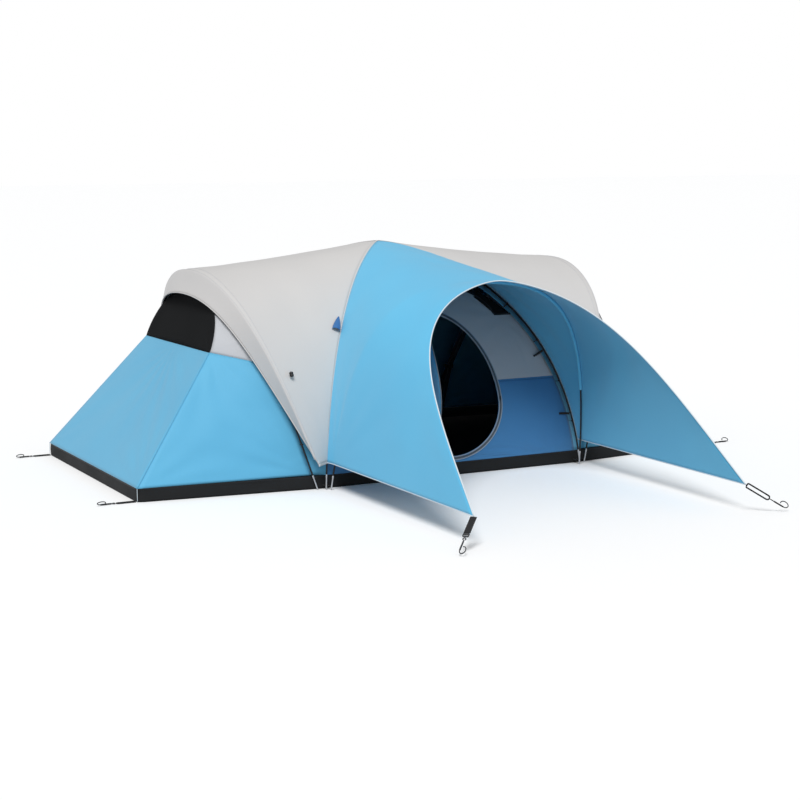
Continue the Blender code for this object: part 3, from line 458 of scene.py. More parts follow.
def grid_area(grid: Array) -> float:
    """Return a grid's area, half the cross product of each cell's diagonals."""
    first = grid[1:, 1:] - grid[:-1, :-1]
    second = grid[1:, :-1] - grid[:-1, 1:]
    return float(np.linalg.norm(np.cross(first, second), axis=2).sum() / 2.0)


def ease(value: Array) -> Array:
    """Return the smooth step of values clipped to 0 and 1."""
    clipped = np.clip(value, 0.0, 1.0)
    return clipped * clipped * (3.0 - 2.0 * clipped)


@dataclass(frozen=True)
class Drape:
    """How a taut panel departs from its plain surface: broad waves, and folds that fan out from corners."""

    seed: int
    wave: float = 0.0030
    fold: float = 0.0045
    reach: float = 0.55
    corners: tuple[tuple[float, float], ...] = ((0.0, 0.0),)
    fan: float = 17.0

    def apply(self, grid: Array) -> Array:
        """Move a grid along its normals; the border stays where it is sewn.

        A wave is a sum of six sines of place on the cloth. A fold is a sine of the angle about a corner that
        fades with distance from it.

        Args:
            grid: The panel's plain surface.

        Returns:
            The draped surface.
        """
        rng = np.random.default_rng(self.seed)
        u, v = grid_lengths(grid)
        height = np.zeros(u.shape)
        for _ in range(6):
            turn, start = rng.uniform(0.0, 2.0 * math.pi, 2)
            length = rng.uniform(0.28, 0.95)
            course = (u * math.cos(turn) + v * math.sin(turn)) * 2.0 * math.pi / length
            height += self.wave * 0.4 * np.sin(course + start)
        rows = np.linspace(0.0, 1.0, grid.shape[0])[:, None]
        columns = np.linspace(0.0, 1.0, grid.shape[1])[None, :]
        for row, column in self.corners:
            row_at = int(round(row * (grid.shape[0] - 1)))
            column_at = int(round(column * (grid.shape[1] - 1)))
            du = u - u[row_at, column_at]
            dv = v - v[row_at, column_at]
            away = np.hypot(du, dv)
            angle = np.arctan2(np.abs(dv) + 1e-6, np.abs(du) + 1e-6)
            fade = np.exp(-away / self.reach) * ease(away / 0.06)
            height += self.fold * fade * np.sin(self.fan * angle + rng.uniform(0.0, 6.0))
        border = ease(np.minimum(rows, 1.0 - rows) * 9.0) * ease(np.minimum(columns, 1.0 - columns) * 9.0)
        return grid + grid_normals(grid) * (height * border)[..., None]


def put_mesh(
    name: str, verts: Array, faces: Array, cloth_map: Array | None, finish: bpy.types.Material
) -> bpy.types.Object:
    """Put arrays of points and four-sided faces into a new smooth object at the origin.

    Args:
        name: The piece's name.
        verts: Points in metres.
        faces: Indices, four to a face.
        cloth_map: Places on the cloth in metres, one for each point.
        finish: The piece's material.

    Returns:
        The new object.
    """
    mesh = bpy.data.meshes.new(name)
    mesh.from_pydata(verts.reshape(-1, 3).tolist(), [], faces.reshape(-1, 4).tolist())
    if cloth_map is not None:
        layer = mesh.uv_layers.new(name="cloth")
        corners = np.zeros(len(mesh.loops), dtype=np.int32)
        mesh.loops.foreach_get("vertex_index", corners)
        layer.data.foreach_set("uv", cloth_map.reshape(-1, 2)[corners].astype(np.float32).ravel())
    mesh.polygons.foreach_set("use_smooth", np.ones(len(mesh.polygons), dtype=bool))
    mesh.materials.append(finish)
    piece = bpy.data.objects.new(name, mesh)
    bpy.context.scene.collection.objects.link(piece)
    return piece


def quads(rows: int, columns: int, offset: int = 0) -> Array:
    """Return the faces of a grid of points, row by row.

    Args:
        rows: Points down.
        columns: Points across.
        offset: Index of the first point.

    Returns:
        Indices, four to a face.
    """
    index = np.arange(rows * columns).reshape(rows, columns) + offset
    corners = (index[:-1, :-1], index[:-1, 1:], index[1:, 1:], index[1:, :-1])
    return np.stack(corners, axis=-1).reshape(-1, 4)


def tidy(piece: bpy.types.Object, outward: bool = False) -> None:
    """Merge points that coincide, drop empty faces and, on a closed shape, turn its faces outwards.

    Args:
        piece: The piece to clean.
        outward: Whether to recalculate its normals.
    """
    builder = bmesh.new()
    builder.from_mesh(piece.data)
    bmesh.ops.remove_doubles(builder, verts=builder.verts, dist=0.00005)
    bmesh.ops.dissolve_degenerate(builder, dist=0.00002, edges=builder.edges)
    if outward:
        bmesh.ops.recalc_face_normals(builder, faces=builder.faces)
    builder.to_mesh(piece.data)
    builder.free()


def sweep(
    name: str,
    paths: Sequence[Array],
    section: Array,
    finish: bpy.types.Material,
    reference: Array = UP,
    size: Array | float = 1.0,
    closed: bool = False,
) -> bpy.types.Object:
    """Carry a closed section along lines: each ring is the line's point plus the section across the line.

    Args:
        name: The piece's name.
        paths: The lines, one solid for each.
        section: Points of the section, sideways and outwards.
        finish: The piece's material.
        reference: A direction that the section's outward side keeps to.
        size: Factor on the section, or one for each point of a line.
        closed: Whether each line joins up with itself.

    Returns:
        The swept piece.
    """
    all_verts, all_faces, all_maps, offset = [], [], [], 0
    for path in paths:
        along = np.gradient(path, axis=0)
        if closed:
            along = np.roll(path, -1, axis=0) - np.roll(path, 1, axis=0)
        along = along / np.linalg.norm(along, axis=1)[:, None]
        sideways = np.cross(along, reference)
        sideways = sideways / np.maximum(np.linalg.norm(sideways, axis=1)[:, None], 1e-9)
        outward = np.cross(sideways, along)
        factor = np.broadcast_to(np.asarray(size, dtype=float), (len(path),))[:, None, None]
        ring = section[None, :, :1] * sideways[:, None] + section[None, :, 1:] * outward[:, None]
        verts = path[:, None] + ring * factor
        girth = np.linspace(0.0, np.linalg.norm(np.diff(section, axis=0), axis=1).sum(), len(section))
        place = np.stack(np.broadcast_arrays(girth[None, :], run_of(path)[:, None]), axis=-1)
        wrapped = np.concatenate((verts, verts[:, :1]), axis=1)
        place = np.concatenate((place, place[:, -1:]), axis=1)
        if closed:
            wrapped = np.concatenate((wrapped, wrapped[:1]), axis=0)
            place = np.concatenate((place, place[-1:]), axis=0)
        else:
            ends = [
                np.repeat(wrapped[row].mean(axis=0)[None, None], wrapped.shape[1], axis=1) for row in (0, -1)
            ]
            wrapped = np.concatenate((ends[0], wrapped, ends[1]), axis=0)
            place = np.concatenate((place[:1], place, place[-1:]), axis=0)
        rows, columns = wrapped.shape[:2]
        all_faces.append(quads(rows, columns, offset))
        all_verts.append(wrapped.reshape(-1, 3))
        all_maps.append(place.reshape(-1, 2))
        offset += rows * columns
    piece = put_mesh(
        name, np.concatenate(all_verts), np.concatenate(all_faces), np.concatenate(all_maps), finish
    )
    tidy(piece, outward=True)
    return piece


def round_section(radius: float, sides: int = 10) -> Array:
    """Return a circle's points."""
    angle = np.arange(sides) * 2.0 * math.pi / sides
    return np.stack((np.cos(angle), np.sin(angle)), axis=1) * radius


def flat_section(width: float, thickness: float) -> Array:
    """Return a flat band's section, a squared-off ellipse."""
    angle = np.arange(12) * 2.0 * math.pi / 12
    x = np.sign(np.cos(angle)) * np.abs(np.cos(angle)) ** 0.35
    y = np.sign(np.sin(angle)) * np.abs(np.sin(angle)) ** 0.6
    return np.stack((x * width / 2.0, y * thickness / 2.0), axis=1)


def join_pieces(name: str, pieces: Sequence[bpy.types.Object]) -> bpy.types.Object:
    """Join several meshes of one finish into the first, under a new name.

    Args:
        name: The joined piece's name.
        pieces: The meshes.

    Returns:
        The joined piece.
    """
    builder = bmesh.new()
    for piece in pieces:
        builder.from_mesh(piece.data)
    mesh = bpy.data.meshes.new(name)
    builder.to_mesh(mesh)
    builder.free()
    mesh.materials.append(pieces[0].data.materials[0])
    joined = bpy.data.objects.new(name, mesh)
    bpy.context.scene.collection.objects.link(joined)
    for piece in pieces:
        bpy.data.objects.remove(piece, do_unlink=True)
    return joined


def fit(piece: bpy.types.Object, body: str, slot: str, *nodes: str) -> bpy.types.Object:
    """Put a piece on its body, hide the nodes that it stands for, and log it.

    Args:
        piece: The piece.
        body: The body that it moves with.
        slot: The record's material slot; not used.
        *nodes: The nodes that it replaces.

    Returns:
        The same piece.
    """
    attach(piece, body)
    if nodes:
        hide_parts(*nodes)
    LOG.info("%s: %d faces on %s", piece.name, len(piece.data.polygons), body)
    return piece


def trim(
    name: str,
    paths: Sequence[Array],
    section: Array,
    finish: bpy.types.Material,
    slot: str,
    *nodes: str,
    body: str = "tent",
    reference: Array = UP,
    size: Array | float = 1.0,
    closed: bool = False,
) -> None:
    """Sweep a section along lines and put the piece on its body.

    Args:
        name: The piece's name.
        paths: The lines, one solid for each.
        section: Points of the section, sideways and outwards.
        finish: The piece's material.
        slot: The record's material slot.
        *nodes: The nodes that it replaces.
        body: The body that it moves with.
        reference: A direction that the section's outward side keeps to.
        size: Factor on the section, or one for each point of a line.
        closed: Whether each line joins up with itself.
    """
    fit(sweep(name, paths, section, finish, reference, size, closed), body, slot, *nodes)


@dataclass
class Cloth:
    """One sewn panel: a grid of places, its finish and how it is held.

    A narrow or curved panel covers little of its flat width by length. Its declared area is then raised to
    least_share of that product, above the area that its grid measures. The build logs that width and length,
    scaled up where the grid's area is larger than their product, and the grid's area, at most the scaled
    product.
    """

    name: str
    grids: list[Array]
    finish: bpy.types.Material
    slot: str
    nodes: tuple[str, ...] = ()
    held: str = "stretched"
    rests_on: tuple[str, ...] = ()
    body: str = "tent"
    thickness: float = 0.0010
    least_share: float = 0.31

    def build(self) -> bpy.types.Object:
        """Returns:
            The panel.
        """
        verts = np.concatenate([grid.reshape(-1, 3) for grid in self.grids])
        maps, faces, offset = [], [], 0
        for grid in self.grids:
            maps.append(np.stack(grid_lengths(grid), axis=-1).reshape(-1, 2))
            faces.append(quads(*grid.shape[:2], offset))
            offset += grid.shape[0] * grid.shape[1]
        piece = put_mesh(self.name, verts, np.concatenate(faces), np.concatenate(maps), self.finish)
        tidy(piece)
        shell = piece.modifiers.new("cloth thickness", "SOLIDIFY")
        shell.thickness = self.thickness
        shell.offset = 0.0
        fit(piece, self.body, self.slot, *self.nodes)
        area = sum(grid_area(grid) for grid in self.grids)
        spread = verts.max(axis=0) - verts.min(axis=0)
        width = max(float(grid_lengths(grid)[0].max()) for grid in self.grids)
        length = max(float(grid_lengths(grid)[1].max()) for grid in self.grids)
        if len(self.grids) > 1:
            width = float(max(spread[0], spread[1]))
            length = float(np.hypot(spread[2], min(spread[0], spread[1])))
        scale = math.sqrt(max(1.0, area / (width * length)))
        flat = (round(width * scale, 3), round(length * scale, 3))
        area = min(area, flat[0] * flat[1])
        LOG.info("%s: cut %.2f by %.2f m, %.2f square metres", self.name, *flat, area)
        return piece


# ------------------------------------------------------------------ the tent's lines


@dataclass(frozen=True)
class TentLines:
    """The lines that the poles, seams and edges follow, from the floor's size and the poles' heights."""

    half_length: float
    half_middle: float
    half_end: float = 1.13
    half_span: float = 1.14
    tub: float = 0.10
    pole: float = 0.0065
    peak: float = 1.722
    foot_outset: float = 0.052
    foot_spacing: float = 0.057
    foot_clearance: float = 0.002
    tip: float = 0.11
    arc_height: float = 1.556
    arc_inset: float = 0.861
    porch_reach: float = 0.370
    porch_height: float = 1.511
    porch_foot_inset: float = 0.026
    porch_foot_outset: float = 0.083
    hang: float = 0.036
    bay_slack: float = 0.060
    seam: float = 0.997
    seam_drop: float = 0.082
    crest: float = 0.10
    fold_inset: float = 0.731
    fold_half: float = 0.716
    window_top: float = 1.44
    window_tuck: float = 0.080
    front_seam: float = 0.69
    fly_gap: float = 0.0145
    hem: float = 0.20
    brow_inset: float = 0.798
    brow_height: float = 1.366
    brow_standoff: float = 0.027
    wing_half: float = 1.073
    wing_reach: float = 3.492
    wing_height: float = 0.196
    brim_reach: float = 1.954
    brim_height: float = 1.557
    pull_out: float = 0.12
    pull_in: float = 0.03
    cross_handles: tuple[float, float, float] = (0.894, -0.113, 0.20)
    arc_handles: tuple[float, float, float] = (0.297, -0.167, 0.93)
    porch_handles: tuple[float, float, float] = (0.746, -0.069, 0.727)
    brow_handles: tuple[float, float, float] = (0.746, -0.449, 0.59)
    brow_hem_out: tuple[float, float] = (0.045, 0.085)
    porch_heart: tuple[float, float] = (0.7, 0.45)
    wing_tip_handle: tuple[float, float, float] = (-0.126, 0.796, 0.657)
    wing_brim_handle: tuple[float, float, float] = (0.909, -0.082, -0.141)
    slack_from: float = 0.60

    def cross(self, steps: int, lift: float = 0.0) -> Array:
        """Return the front right half of a crossed pole, foot to peak."""
        foot_x = self.half_span - self.foot_outset / 2
        foot = np.array((foot_x, -self.half_middle - self.foot_outset, self.foot_clearance))
        apex = np.array((0.0, 0.0, self.peak + lift))
        pull, lean, apex_pull = self.cross_handles
        return half_arch(foot, apex, pull * self.peak, lean, apex_pull, steps)

    def arc(self, steps: int) -> Array:
        """Return the front half of the right bay's pole, foot to apex."""
        foot_x = self.half_span - self.foot_outset / 2 + self.foot_spacing
        foot = np.array((foot_x, -self.half_middle - self.foot_outset / 2, self.foot_clearance))
        apex = np.array((self.half_length - self.arc_inset, 0.0, self.arc_height))
        pull, lean, apex_pull = self.arc_handles
        return half_arch(foot, apex, pull * self.arc_height, lean, apex_pull * self.half_middle, steps)

    def porch(self, steps: int) -> Array:
        """Return the right half of the porch arch, foot to apex."""
        foot_x = self.half_span - self.foot_outset / 2 - self.porch_foot_inset
        foot = np.array((foot_x, -self.half_middle - self.porch_foot_outset, self.foot_clearance))
        apex = np.array((0.0, -self.half_middle - self.porch_reach, self.porch_height))
        pull, lean, apex_pull = self.porch_handles
        return half_arch(foot, apex, pull * self.porch_height, lean, apex_pull * self.half_span, steps)

    def brow(self, steps: int) -> Array:
        """Return the front half of the right fly's outer edge, hem to apex."""
        out_x, out_y = self.brow_hem_out
        hem = np.array((self.half_span + out_x, -self.half_middle - out_y, self.hem))
        apex = np.array((self.half_length - self.brow_inset, 0.0, self.brow_height))
        pull, lean, apex_pull = self.brow_handles
        arch = half_arch(hem, apex, pull * self.brow_height, lean, apex_pull * self.half_middle, steps)
        return push_out(arch, self.brow_standoff)

    def ridge(self, steps: int) -> Array:
        """Return the line where the right fly turns over the bay's pole, pulled off it towards the foot."""
        raised = push_out(self.arc(steps * 2), self.fly_gap)
        pole = resample(between(raised, self.hem, float(raised[-1, 2]), steps * 2), steps + 1)
        share = np.linspace(1.0, 0.0, steps + 1)[:, None]
        return pole + share**2 * np.array((-self.pull_in, -self.pull_out, 0.0))

    def fly_cross(self, steps: int) -> Array:
        """Return the fly's seam over the front right half of the crossed poles, hem to peak."""
        raised = push_out(self.cross(steps * 2, lift=2 * self.pole), self.fly_gap)
        return resample(between(raised, self.hem, float(raised[-1, 2]), steps * 2), steps + 1)

    def fly_porch(self, steps: int) -> Array:
        """Return the fly's line over the right half of the porch arch, hem to apex."""
        share, height = self.porch_heart
        heart = np.array((0.0, -self.half_middle - self.porch_reach * share, height))
        raised = push_out(self.porch(steps * 2), self.fly_gap, heart)
        return resample(between(raised, self.hem, float(raised[-1, 2]), steps * 2), steps + 1)

    def wing_edge(self, steps: int) -> Array:
        """Return the porch's front edge from the right wing's tip to the brim's round crest."""
        tip = np.array((self.wing_half, -self.wing_reach, self.wing_height))
        brim = np.array((0.0, -self.brim_reach, self.brim_height))
        pull_tip = tip + self.wing_tip_handle
        pull_brim = brim + self.wing_brim_handle
        edge = resample(bezier(tip, pull_tip, pull_brim, brim, steps * 2), steps + 1)
        slope = (pull_brim - brim)[1:] / (pull_brim - brim)[0]
        edge[:, 1:] += (np.hypot(edge[:, :1], self.crest) - edge[:, :1]) * slope
        return edge

    def inner_cross(self) -> Array:
        """Return the middle walls' line under the front right half of the crossed poles."""
        return push_out(self.cross(96), -(self.pole + self.hang))

    def inner_arc(self) -> Array:
        """Return the bay walls' line under the front half of the right pole, slacker above the tub."""
        arc = self.arc(96)
        slack = np.clip(arc[:, 2:] / self.slack_from, 0.0, 1.0) * self.bay_slack
        return push_out(arc, -(self.pole + self.hang) - slack)

    def wall(self, x: Array, height: Array) -> Array:
        """Return points of the middle front wall, level rows strung between the crossed poles' lines.

        Args:
            x: Places across.
            height: Heights, of the same shape.

        Returns:
            The points.
        """
        line = self.inner_cross()
        y = np.interp(height, line[:, 2], line[:, 1])
        return np.stack(np.broadcast_arrays(x, y, height), axis=-1)

    def wall_half(self, height: Array) -> Array:
        """Return the middle wall's half width at heights."""
        line = self.inner_cross()
        return np.interp(height, line[:, 2], line[:, 0])


def whole(half: Array) -> Array:
    """Return a line from the left foot over the top to the right foot, from its right half."""
    return np.vstack((half * MIRROR_X, half[::-1][1:]))


# ------------------------------------------------------------------ sub-assemblies


@dataclass
class TubFloor:
    """The coated groundsheet: a flat floor and a low wall all round, with a felled seam on top."""

    lines: TentLines
    finishes: Finishes
    skin: float = 0.0035
    ripple: float = 0.004
    seam_height: float = 0.012
    corner_inset: float = 0.9990
    corner_seam: tuple[float, float] = (0.008, 0.098)

    def outline(self) -> Array:
        """Return the floor's outline, its eight corners joined by straight sides and slightly rounded."""
        half, middle = self.lines.half_length, self.lines.half_middle
        end, span = self.lines.half_end, self.lines.half_span
        right = np.array(((half, -end, 0.0), (half, end, 0.0), (span, middle, 0.0)))
        left = np.array(((-span, middle, 0.0), (-half, end, 0.0), (-half, -end, 0.0)))
        flat = np.vstack((right, left, ((-span, -middle, 0.0), (span, -middle, 0.0))))
        line = resample(np.vstack((flat, flat[:1])), 721)[:-1]
        soft = line.copy()
        for _ in range(4):
            soft = (np.roll(soft, 1, axis=0) + 2.0 * soft + np.roll(soft, -1, axis=0)) / 4.0
        return soft

    def build(self) -> None:
        """Build the tub as rings: scaled outlines for the floor, then the wall's profile with a ripple."""
        line = self.outline()
        run = run_of(np.vstack((line, line[:1])))[:-1]
        total = run[-1] + 0.02
        wave = np.sin(run / total * 2 * math.pi * 31.0) * 0.5 + np.sin(run / total * 2 * math.pi * 17.0 + 1.0)
        rings = [line * share + (0.0, 0.0, self.skin) for share in np.linspace(0.0, 0.985, 14)]
        inward = -line / np.linalg.norm(line, axis=1)[:, None]
        for height in np.linspace(0.0, 1.0, 9):
            bulge = self.ripple * math.sin(math.pi * height) * wave + 0.003
            lift = np.full(len(line), self.skin * 0.6 + height * (self.lines.tub - self.skin * 0.6))
            rings.append(line + inward * bulge[:, None] + lift[:, None] * UP)
        grid = np.stack(rings, axis=1)
        grid = np.concatenate((grid, grid[:1]), axis=0)
        Cloth("tub", [grid], self.finishes.tub_black, "tub_fabric", ("floor_tub",), thickness=0.0018).build()
        top = line + inward * 0.002 + (0.0, 0.0, self.lines.tub - 0.006)
        trim(
            "tub_top_seam", [top], flat_section(0.003, self.seam_height), self.finishes.webbing, "tub_fabric",
            closed=True,
        )
        corner = np.array((self.lines.half_length, self.lines.half_end, 0.0)) * self.corner_inset
        low, high = (corner + UP * height for height in self.corner_seam)
        mirrors = (MIRROR_X * MIRROR_Y, MIRROR_X, MIRROR_Y, SAME)
        paths = [np.linspace(low * mirror, high * mirror, 9) for mirror in mirrors]
        trim(
            "tub_corner_seams", paths, round_section(0.0022, 8), self.finishes.piping, "tub_fabric",
            reference=ACROSS,
        )


@dataclass
class InnerBay:
    """One sleeping bay: its blue lower wall, mesh window, grey upper wall and roof."""

    side: Side
    lines: TentLines
    finishes: Finishes
    rows: int = 44
    columns: int = 26

    def window_edge(self, count: int, margin: float = 0.0) -> Array:
        """Return the window's arched edge, half an ellipse leaning inwards, front corner to back corner."""
        angle = np.linspace(math.pi, 0.0, count)
        rise = self.lines.window_top - self.lines.seam - margin
        height = self.lines.seam + margin * 0.5 + rise * np.sin(angle)
        lean = (height - self.lines.seam) / (self.lines.arc_height - self.lines.seam)
        start = self.lines.half_length - self.lines.fold_inset
        x = start + (self.lines.half_length - self.lines.arc_inset - self.lines.window_tuck - start) * lean
        return np.stack((x, (self.lines.fold_half - margin) * np.cos(angle), height), axis=1)

    def crease(self) -> Array:
        """Return the wall's front corner line, from the tub's corner up to the fold."""
        low = np.array((self.lines.half_length - 0.002, -self.lines.half_end + 0.002, self.lines.tub))
        high = np.array(
            (self.lines.half_length - self.lines.fold_inset, -self.lines.fold_half, self.lines.seam)
        )
        return np.linspace(low, high, self.rows + 1)

    def build(self) -> None:
        """Build the bay's panels and bindings."""
        mirror, name = self.side.mirror, self.side.value
        arc = between(
            self.lines.inner_arc(), self.lines.tub, self.lines.seam - self.lines.seam_drop, self.rows + 1
        )
        crease = self.crease()
        front = ruled(arc, crease, self.columns)
        end = ruled(crease, crease * MIRROR_Y, self.columns * 2)
        front = Drape(11, corners=((0.0, 1.0), (1.0, 1.0), (0.0, 0.0)), fold=0.006).apply(front)
        end = Drape(12, corners=((0.0, 0.0), (0.0, 1.0), (1.0, 0.5)), fold=0.005).apply(end)
        panels = [front * mirror, end * mirror, (front * MIRROR_Y)[:, ::-1] * mirror]
        Cloth(
            f"bay_wall_{name}", panels, self.finishes.wall_blue, "blue_fabric", (f"wall_lower_{name}",)
        ).build()
        self.build_window(name, mirror)
        self.build_upper(name, mirror)
        self.build_roof(name, mirror)
        trim(
            f"bay_corner_seam_{name}", [crease * mirror, crease * MIRROR_Y * mirror],
            flat_section(0.010, 0.0022), self.finishes.wall_blue, "blue_fabric",
            reference=np.array((1.0, 0.3, 0.6)) * mirror,
        )

    def build_window(self, name: str, mirror: Array) -> None:
        """Build the mesh window, rows from its sill up to its arch, and the dark tape round it."""
        edge = self.window_edge(65, 0.006)[1:-1]
        sill = edge * (0.0, 1.0, 0.0) + (self.window_edge(3)[0, 0], 0.0, self.lines.seam + 0.003)
        grid = ruled(sill, edge, 14).transpose(1, 0, 2)
        grid = Drape(13, wave=0.002, fold=0.002).apply(grid)
        Cloth(
            f"bay_window_{name}", [grid * mirror], self.finishes.netting, "mesh_fabric", (f"window_{name}",)
        ).build()
        arch = self.window_edge(81)
        flat = np.linspace(arch[-1], arch[0], 41)[1:-1]
        outward = np.array((1.0, 0.0, 0.45)) * mirror
        trim(
            f"window_binding_{name}", [np.vstack((arch, flat)) * mirror], flat_section(0.014, 0.003),
            self.finishes.netting, "mesh_fabric", reference=outward, closed=True,
        )

    def build_upper(self, name: str, mirror: Array) -> None:
        """Build the grey band between the window's arch and the pole's line."""
        inner_arc = self.lines.inner_arc()
        half = between(inner_arc, self.lines.seam - self.lines.seam_drop, inner_arc[-1, 2] - 0.002, 48)
        outer = resample(np.vstack((half[:-1], (half * MIRROR_Y)[::-1])), 97)
        inner = resample(self.window_edge(129), 97)
        grid = Drape(14, corners=((0.0, 0.0), (1.0, 0.0))).apply(ruled(inner, outer, 12))
        Cloth(
            f"bay_upper_{name}", [grid * mirror], self.finishes.wall_grey, "grey_fabric",
            (f"wall_upper_{name}",),
        ).build()

    def build_roof(self, name: str, mirror: Array) -> None:
        """Build the inner roof between the bay's pole and the crossed poles, over the top in one piece."""
        inner_arc, inner_cross = self.lines.inner_arc(), self.lines.inner_cross()
        arc = between(inner_arc, self.lines.tub, inner_arc[-1, 2] - 0.004, 60)
        cross = between(inner_cross, self.lines.tub, inner_cross[-1, 2] - 0.03, 60)
        front = ruled(arc, cross, 24)
        grid = np.concatenate((front, (front * MIRROR_Y)[::-1]), axis=0)
        grid = Drape(15, wave=0.002, fold=0.002).apply(grid)
        Cloth(
            f"bay_roof_{name}", [grid * mirror], self.finishes.wall_blue, "blue_fabric",
            (f"inner_roof_{name}",),
        ).build()


@dataclass
class MiddleRoom:
    """The walls of the middle room: an egg-shaped doorway with its zip and piping, and a mesh roof."""

    lines: TentLines
    finishes: Finishes
    half_width: float = 0.442
    sill: float = 0.147
    middle: float = 0.56
    top: float = 1.21
    shoulder: float = 1.18
    arch_top: float = 1.45
    arch_half: float = 0.59
    mesh_top: float = 1.60
    step: int = 60

    def egg(self, margin: float, count: int) -> Array:
        """Return the doorway's right edge in x and z from its top down to its sill: two half ellipses.

        Args:
            margin: How far outside the edge.
            count: Number of points.

        Returns:
            The points, x and z.
        """
        angle = np.linspace(math.pi / 2, -math.pi / 2, count)
        rise = np.where(angle > 0, self.top - self.middle, self.middle - self.sill) + margin
        return np.stack(
            ((self.half_width + margin) * np.cos(angle), self.middle + rise * np.sin(angle)), axis=1
        )

    def boundary(self, count: int) -> Array:
        """Return half an ellipse in x and z over the right half, and the level line on to the pole."""
        share = np.linspace(0.0, 1.0, count)
        reach = float(self.lines.wall_half(np.array(self.shoulder)))
        x = reach * share
        rise = np.sqrt(np.clip(1.0 - (x / self.arch_half) ** 2, 0.0, 1.0))
        z = self.shoulder + (self.arch_top - self.shoulder) * rise
        return np.stack((x, z), axis=1)

    def on_wall(self, flat: Array, proud: float = 0.0) -> Array:
        """Return wall points at x and z, moved outwards by a distance."""
        place = self.lines.wall(flat[..., 0], flat[..., 1])
        place[..., 1] -= proud
        return place

    def evened(self, line: Array) -> Array:
        """Return a line of the wall's plane as evenly spaced places in x and z."""
        return resample(line, self.step)[:, ::2]

    def panel(self, inner: Array, outer: Array, seed: int) -> Array:
        """Return a draped grid of the wall between two lines given in x and z."""
        flat = ruled(np.insert(inner, 1, 0.0, axis=1), np.insert(outer, 1, 0.0, axis=1), 22)[..., ::2]
        return Drape(seed, wave=0.002, fold=0.003, corners=((0.5, 1.0), (1.0, 1.0))).apply(self.on_wall(flat))

    def build(self) -> None:
        """Build the front and back walls, the mesh roofs, the piping and the zip."""
        fine = self.egg(0.0, 241)
        split = int(np.argmin(np.abs(fine[:, 1] - self.lines.front_seam) + (fine[:, 0] < 0.1)))
        high = np.insert(fine[: split + 1], 1, 0.0, axis=1)
        low = np.insert(fine[split:], 1, 0.0, axis=1)
        edge_high = np.linspace(self.shoulder, self.lines.front_seam, 30)
        outer_high = np.vstack(
            (self.boundary(40), np.stack((self.lines.wall_half(edge_high), edge_high), axis=1)[1:])
        )
        edge_low = np.linspace(self.lines.front_seam, self.lines.tub, 30)
        foot = np.linspace(float(self.lines.wall_half(np.array(self.lines.tub))), 0.0, 40)
        side = np.stack((self.lines.wall_half(edge_low), edge_low), axis=1)
        outer_low = np.vstack((side, np.stack((foot, np.full_like(foot, self.lines.tub)), axis=1)[1:]))
        upper = self.panel(self.evened(high), self.evened(np.insert(outer_high, 1, 0.0, axis=1)), 21)
        lower = self.panel(self.evened(low), self.evened(np.insert(outer_low, 1, 0.0, axis=1)), 22)
        # The lower walls get the darker copy of the blue cloth, as painted shade of the porch's shadow.
        grey, blue = self.finishes.wall_grey, self.finishes.shaded_room_blue
        Cloth(
            "front_grey", [upper, (upper * MIRROR_X)[:, ::-1]], grey, "grey_fabric", ("front_wall_upper",)
        ).build()
        Cloth(
            "front_blue", [lower, (lower * MIRROR_X)[:, ::-1]], blue, "blue_fabric", ("front_wall_lower",)
        ).build()
        self.build_roof()
        self.build_back()
        self.build_trims()

    def build_roof(self) -> None:
        """Build the mesh above the arch, and its plain twin at the back."""
        half = resample(np.insert(self.boundary(60), 1, 0.0, axis=1), 30)
        low = np.vstack((half[::-1] * MIRROR_X, half[1:]))
        reach = float(self.lines.wall_half(np.array(self.mesh_top)))
        low[:, 0] *= 0.999
        level = np.array((0.0, 0.0, self.mesh_top))
        high = np.linspace(level - ACROSS * reach, level + ACROSS * reach, len(low))
        flat = ruled(low, high, 16)[..., ::2]
        front = Drape(23, wave=0.003, fold=0.002).apply(self.on_wall(flat))
        Cloth(
            "roof_netting_front", [front], self.finishes.netting, "mesh_fabric", ("roof_mesh_front",)
        ).build()
        Cloth(
            "roof_netting_back", [front * MIRROR_Y], self.finishes.netting, "mesh_fabric", ("roof_mesh_back",)
        ).build()
        line = self.on_wall(low[:, ::2], 0.002)
        trim(
            "roof_arch_tape", [line, line * MIRROR_Y], flat_section(0.016, 0.003), self.finishes.webbing,
            "mesh_fabric", reference=np.array((0.0, -1.0, 0.5)),
        )

    def build_back(self) -> None:
        """Build the closed back wall: a blue lower panel and a grey upper one under the same arch."""
        share = np.linspace(-1.0, 1.0, 81)[None, :]
        low_z = np.linspace(self.lines.tub, self.lines.front_seam, 30)[:, None] + share * 0
        low = self.lines.wall(share * self.lines.wall_half(low_z), low_z) * MIRROR_Y
        half = self.boundary(60)
        reach = float(self.lines.wall_half(np.array(self.shoulder)))
        ceiling = np.interp(np.abs(share[0]) * reach, half[:, 0], half[:, 1])
        rise = np.linspace(0.0, 1.0, 30)[:, None]
        high_z = self.lines.front_seam + (ceiling[None, :] - self.lines.front_seam) * rise
        width = self.lines.wall_half(self.lines.front_seam + (self.shoulder - self.lines.front_seam) * rise)
        high = self.lines.wall(share * width, high_z) * MIRROR_Y
        for name, grid, finish, slot, seed in (
            # The back wall's lower panel gets the darker blue, as painted shade of the dim room inside.
            ("back_blue", low, self.finishes.shaded_room_blue, "blue_fabric", 24),
            ("back_grey", high, self.finishes.wall_grey, "grey_fabric", 25),
        ):
            node = "back_wall_lower" if name == "back_blue" else "back_wall_upper"
            Cloth(name, [Drape(seed).apply(grid)], finish, slot, (node,)).build()

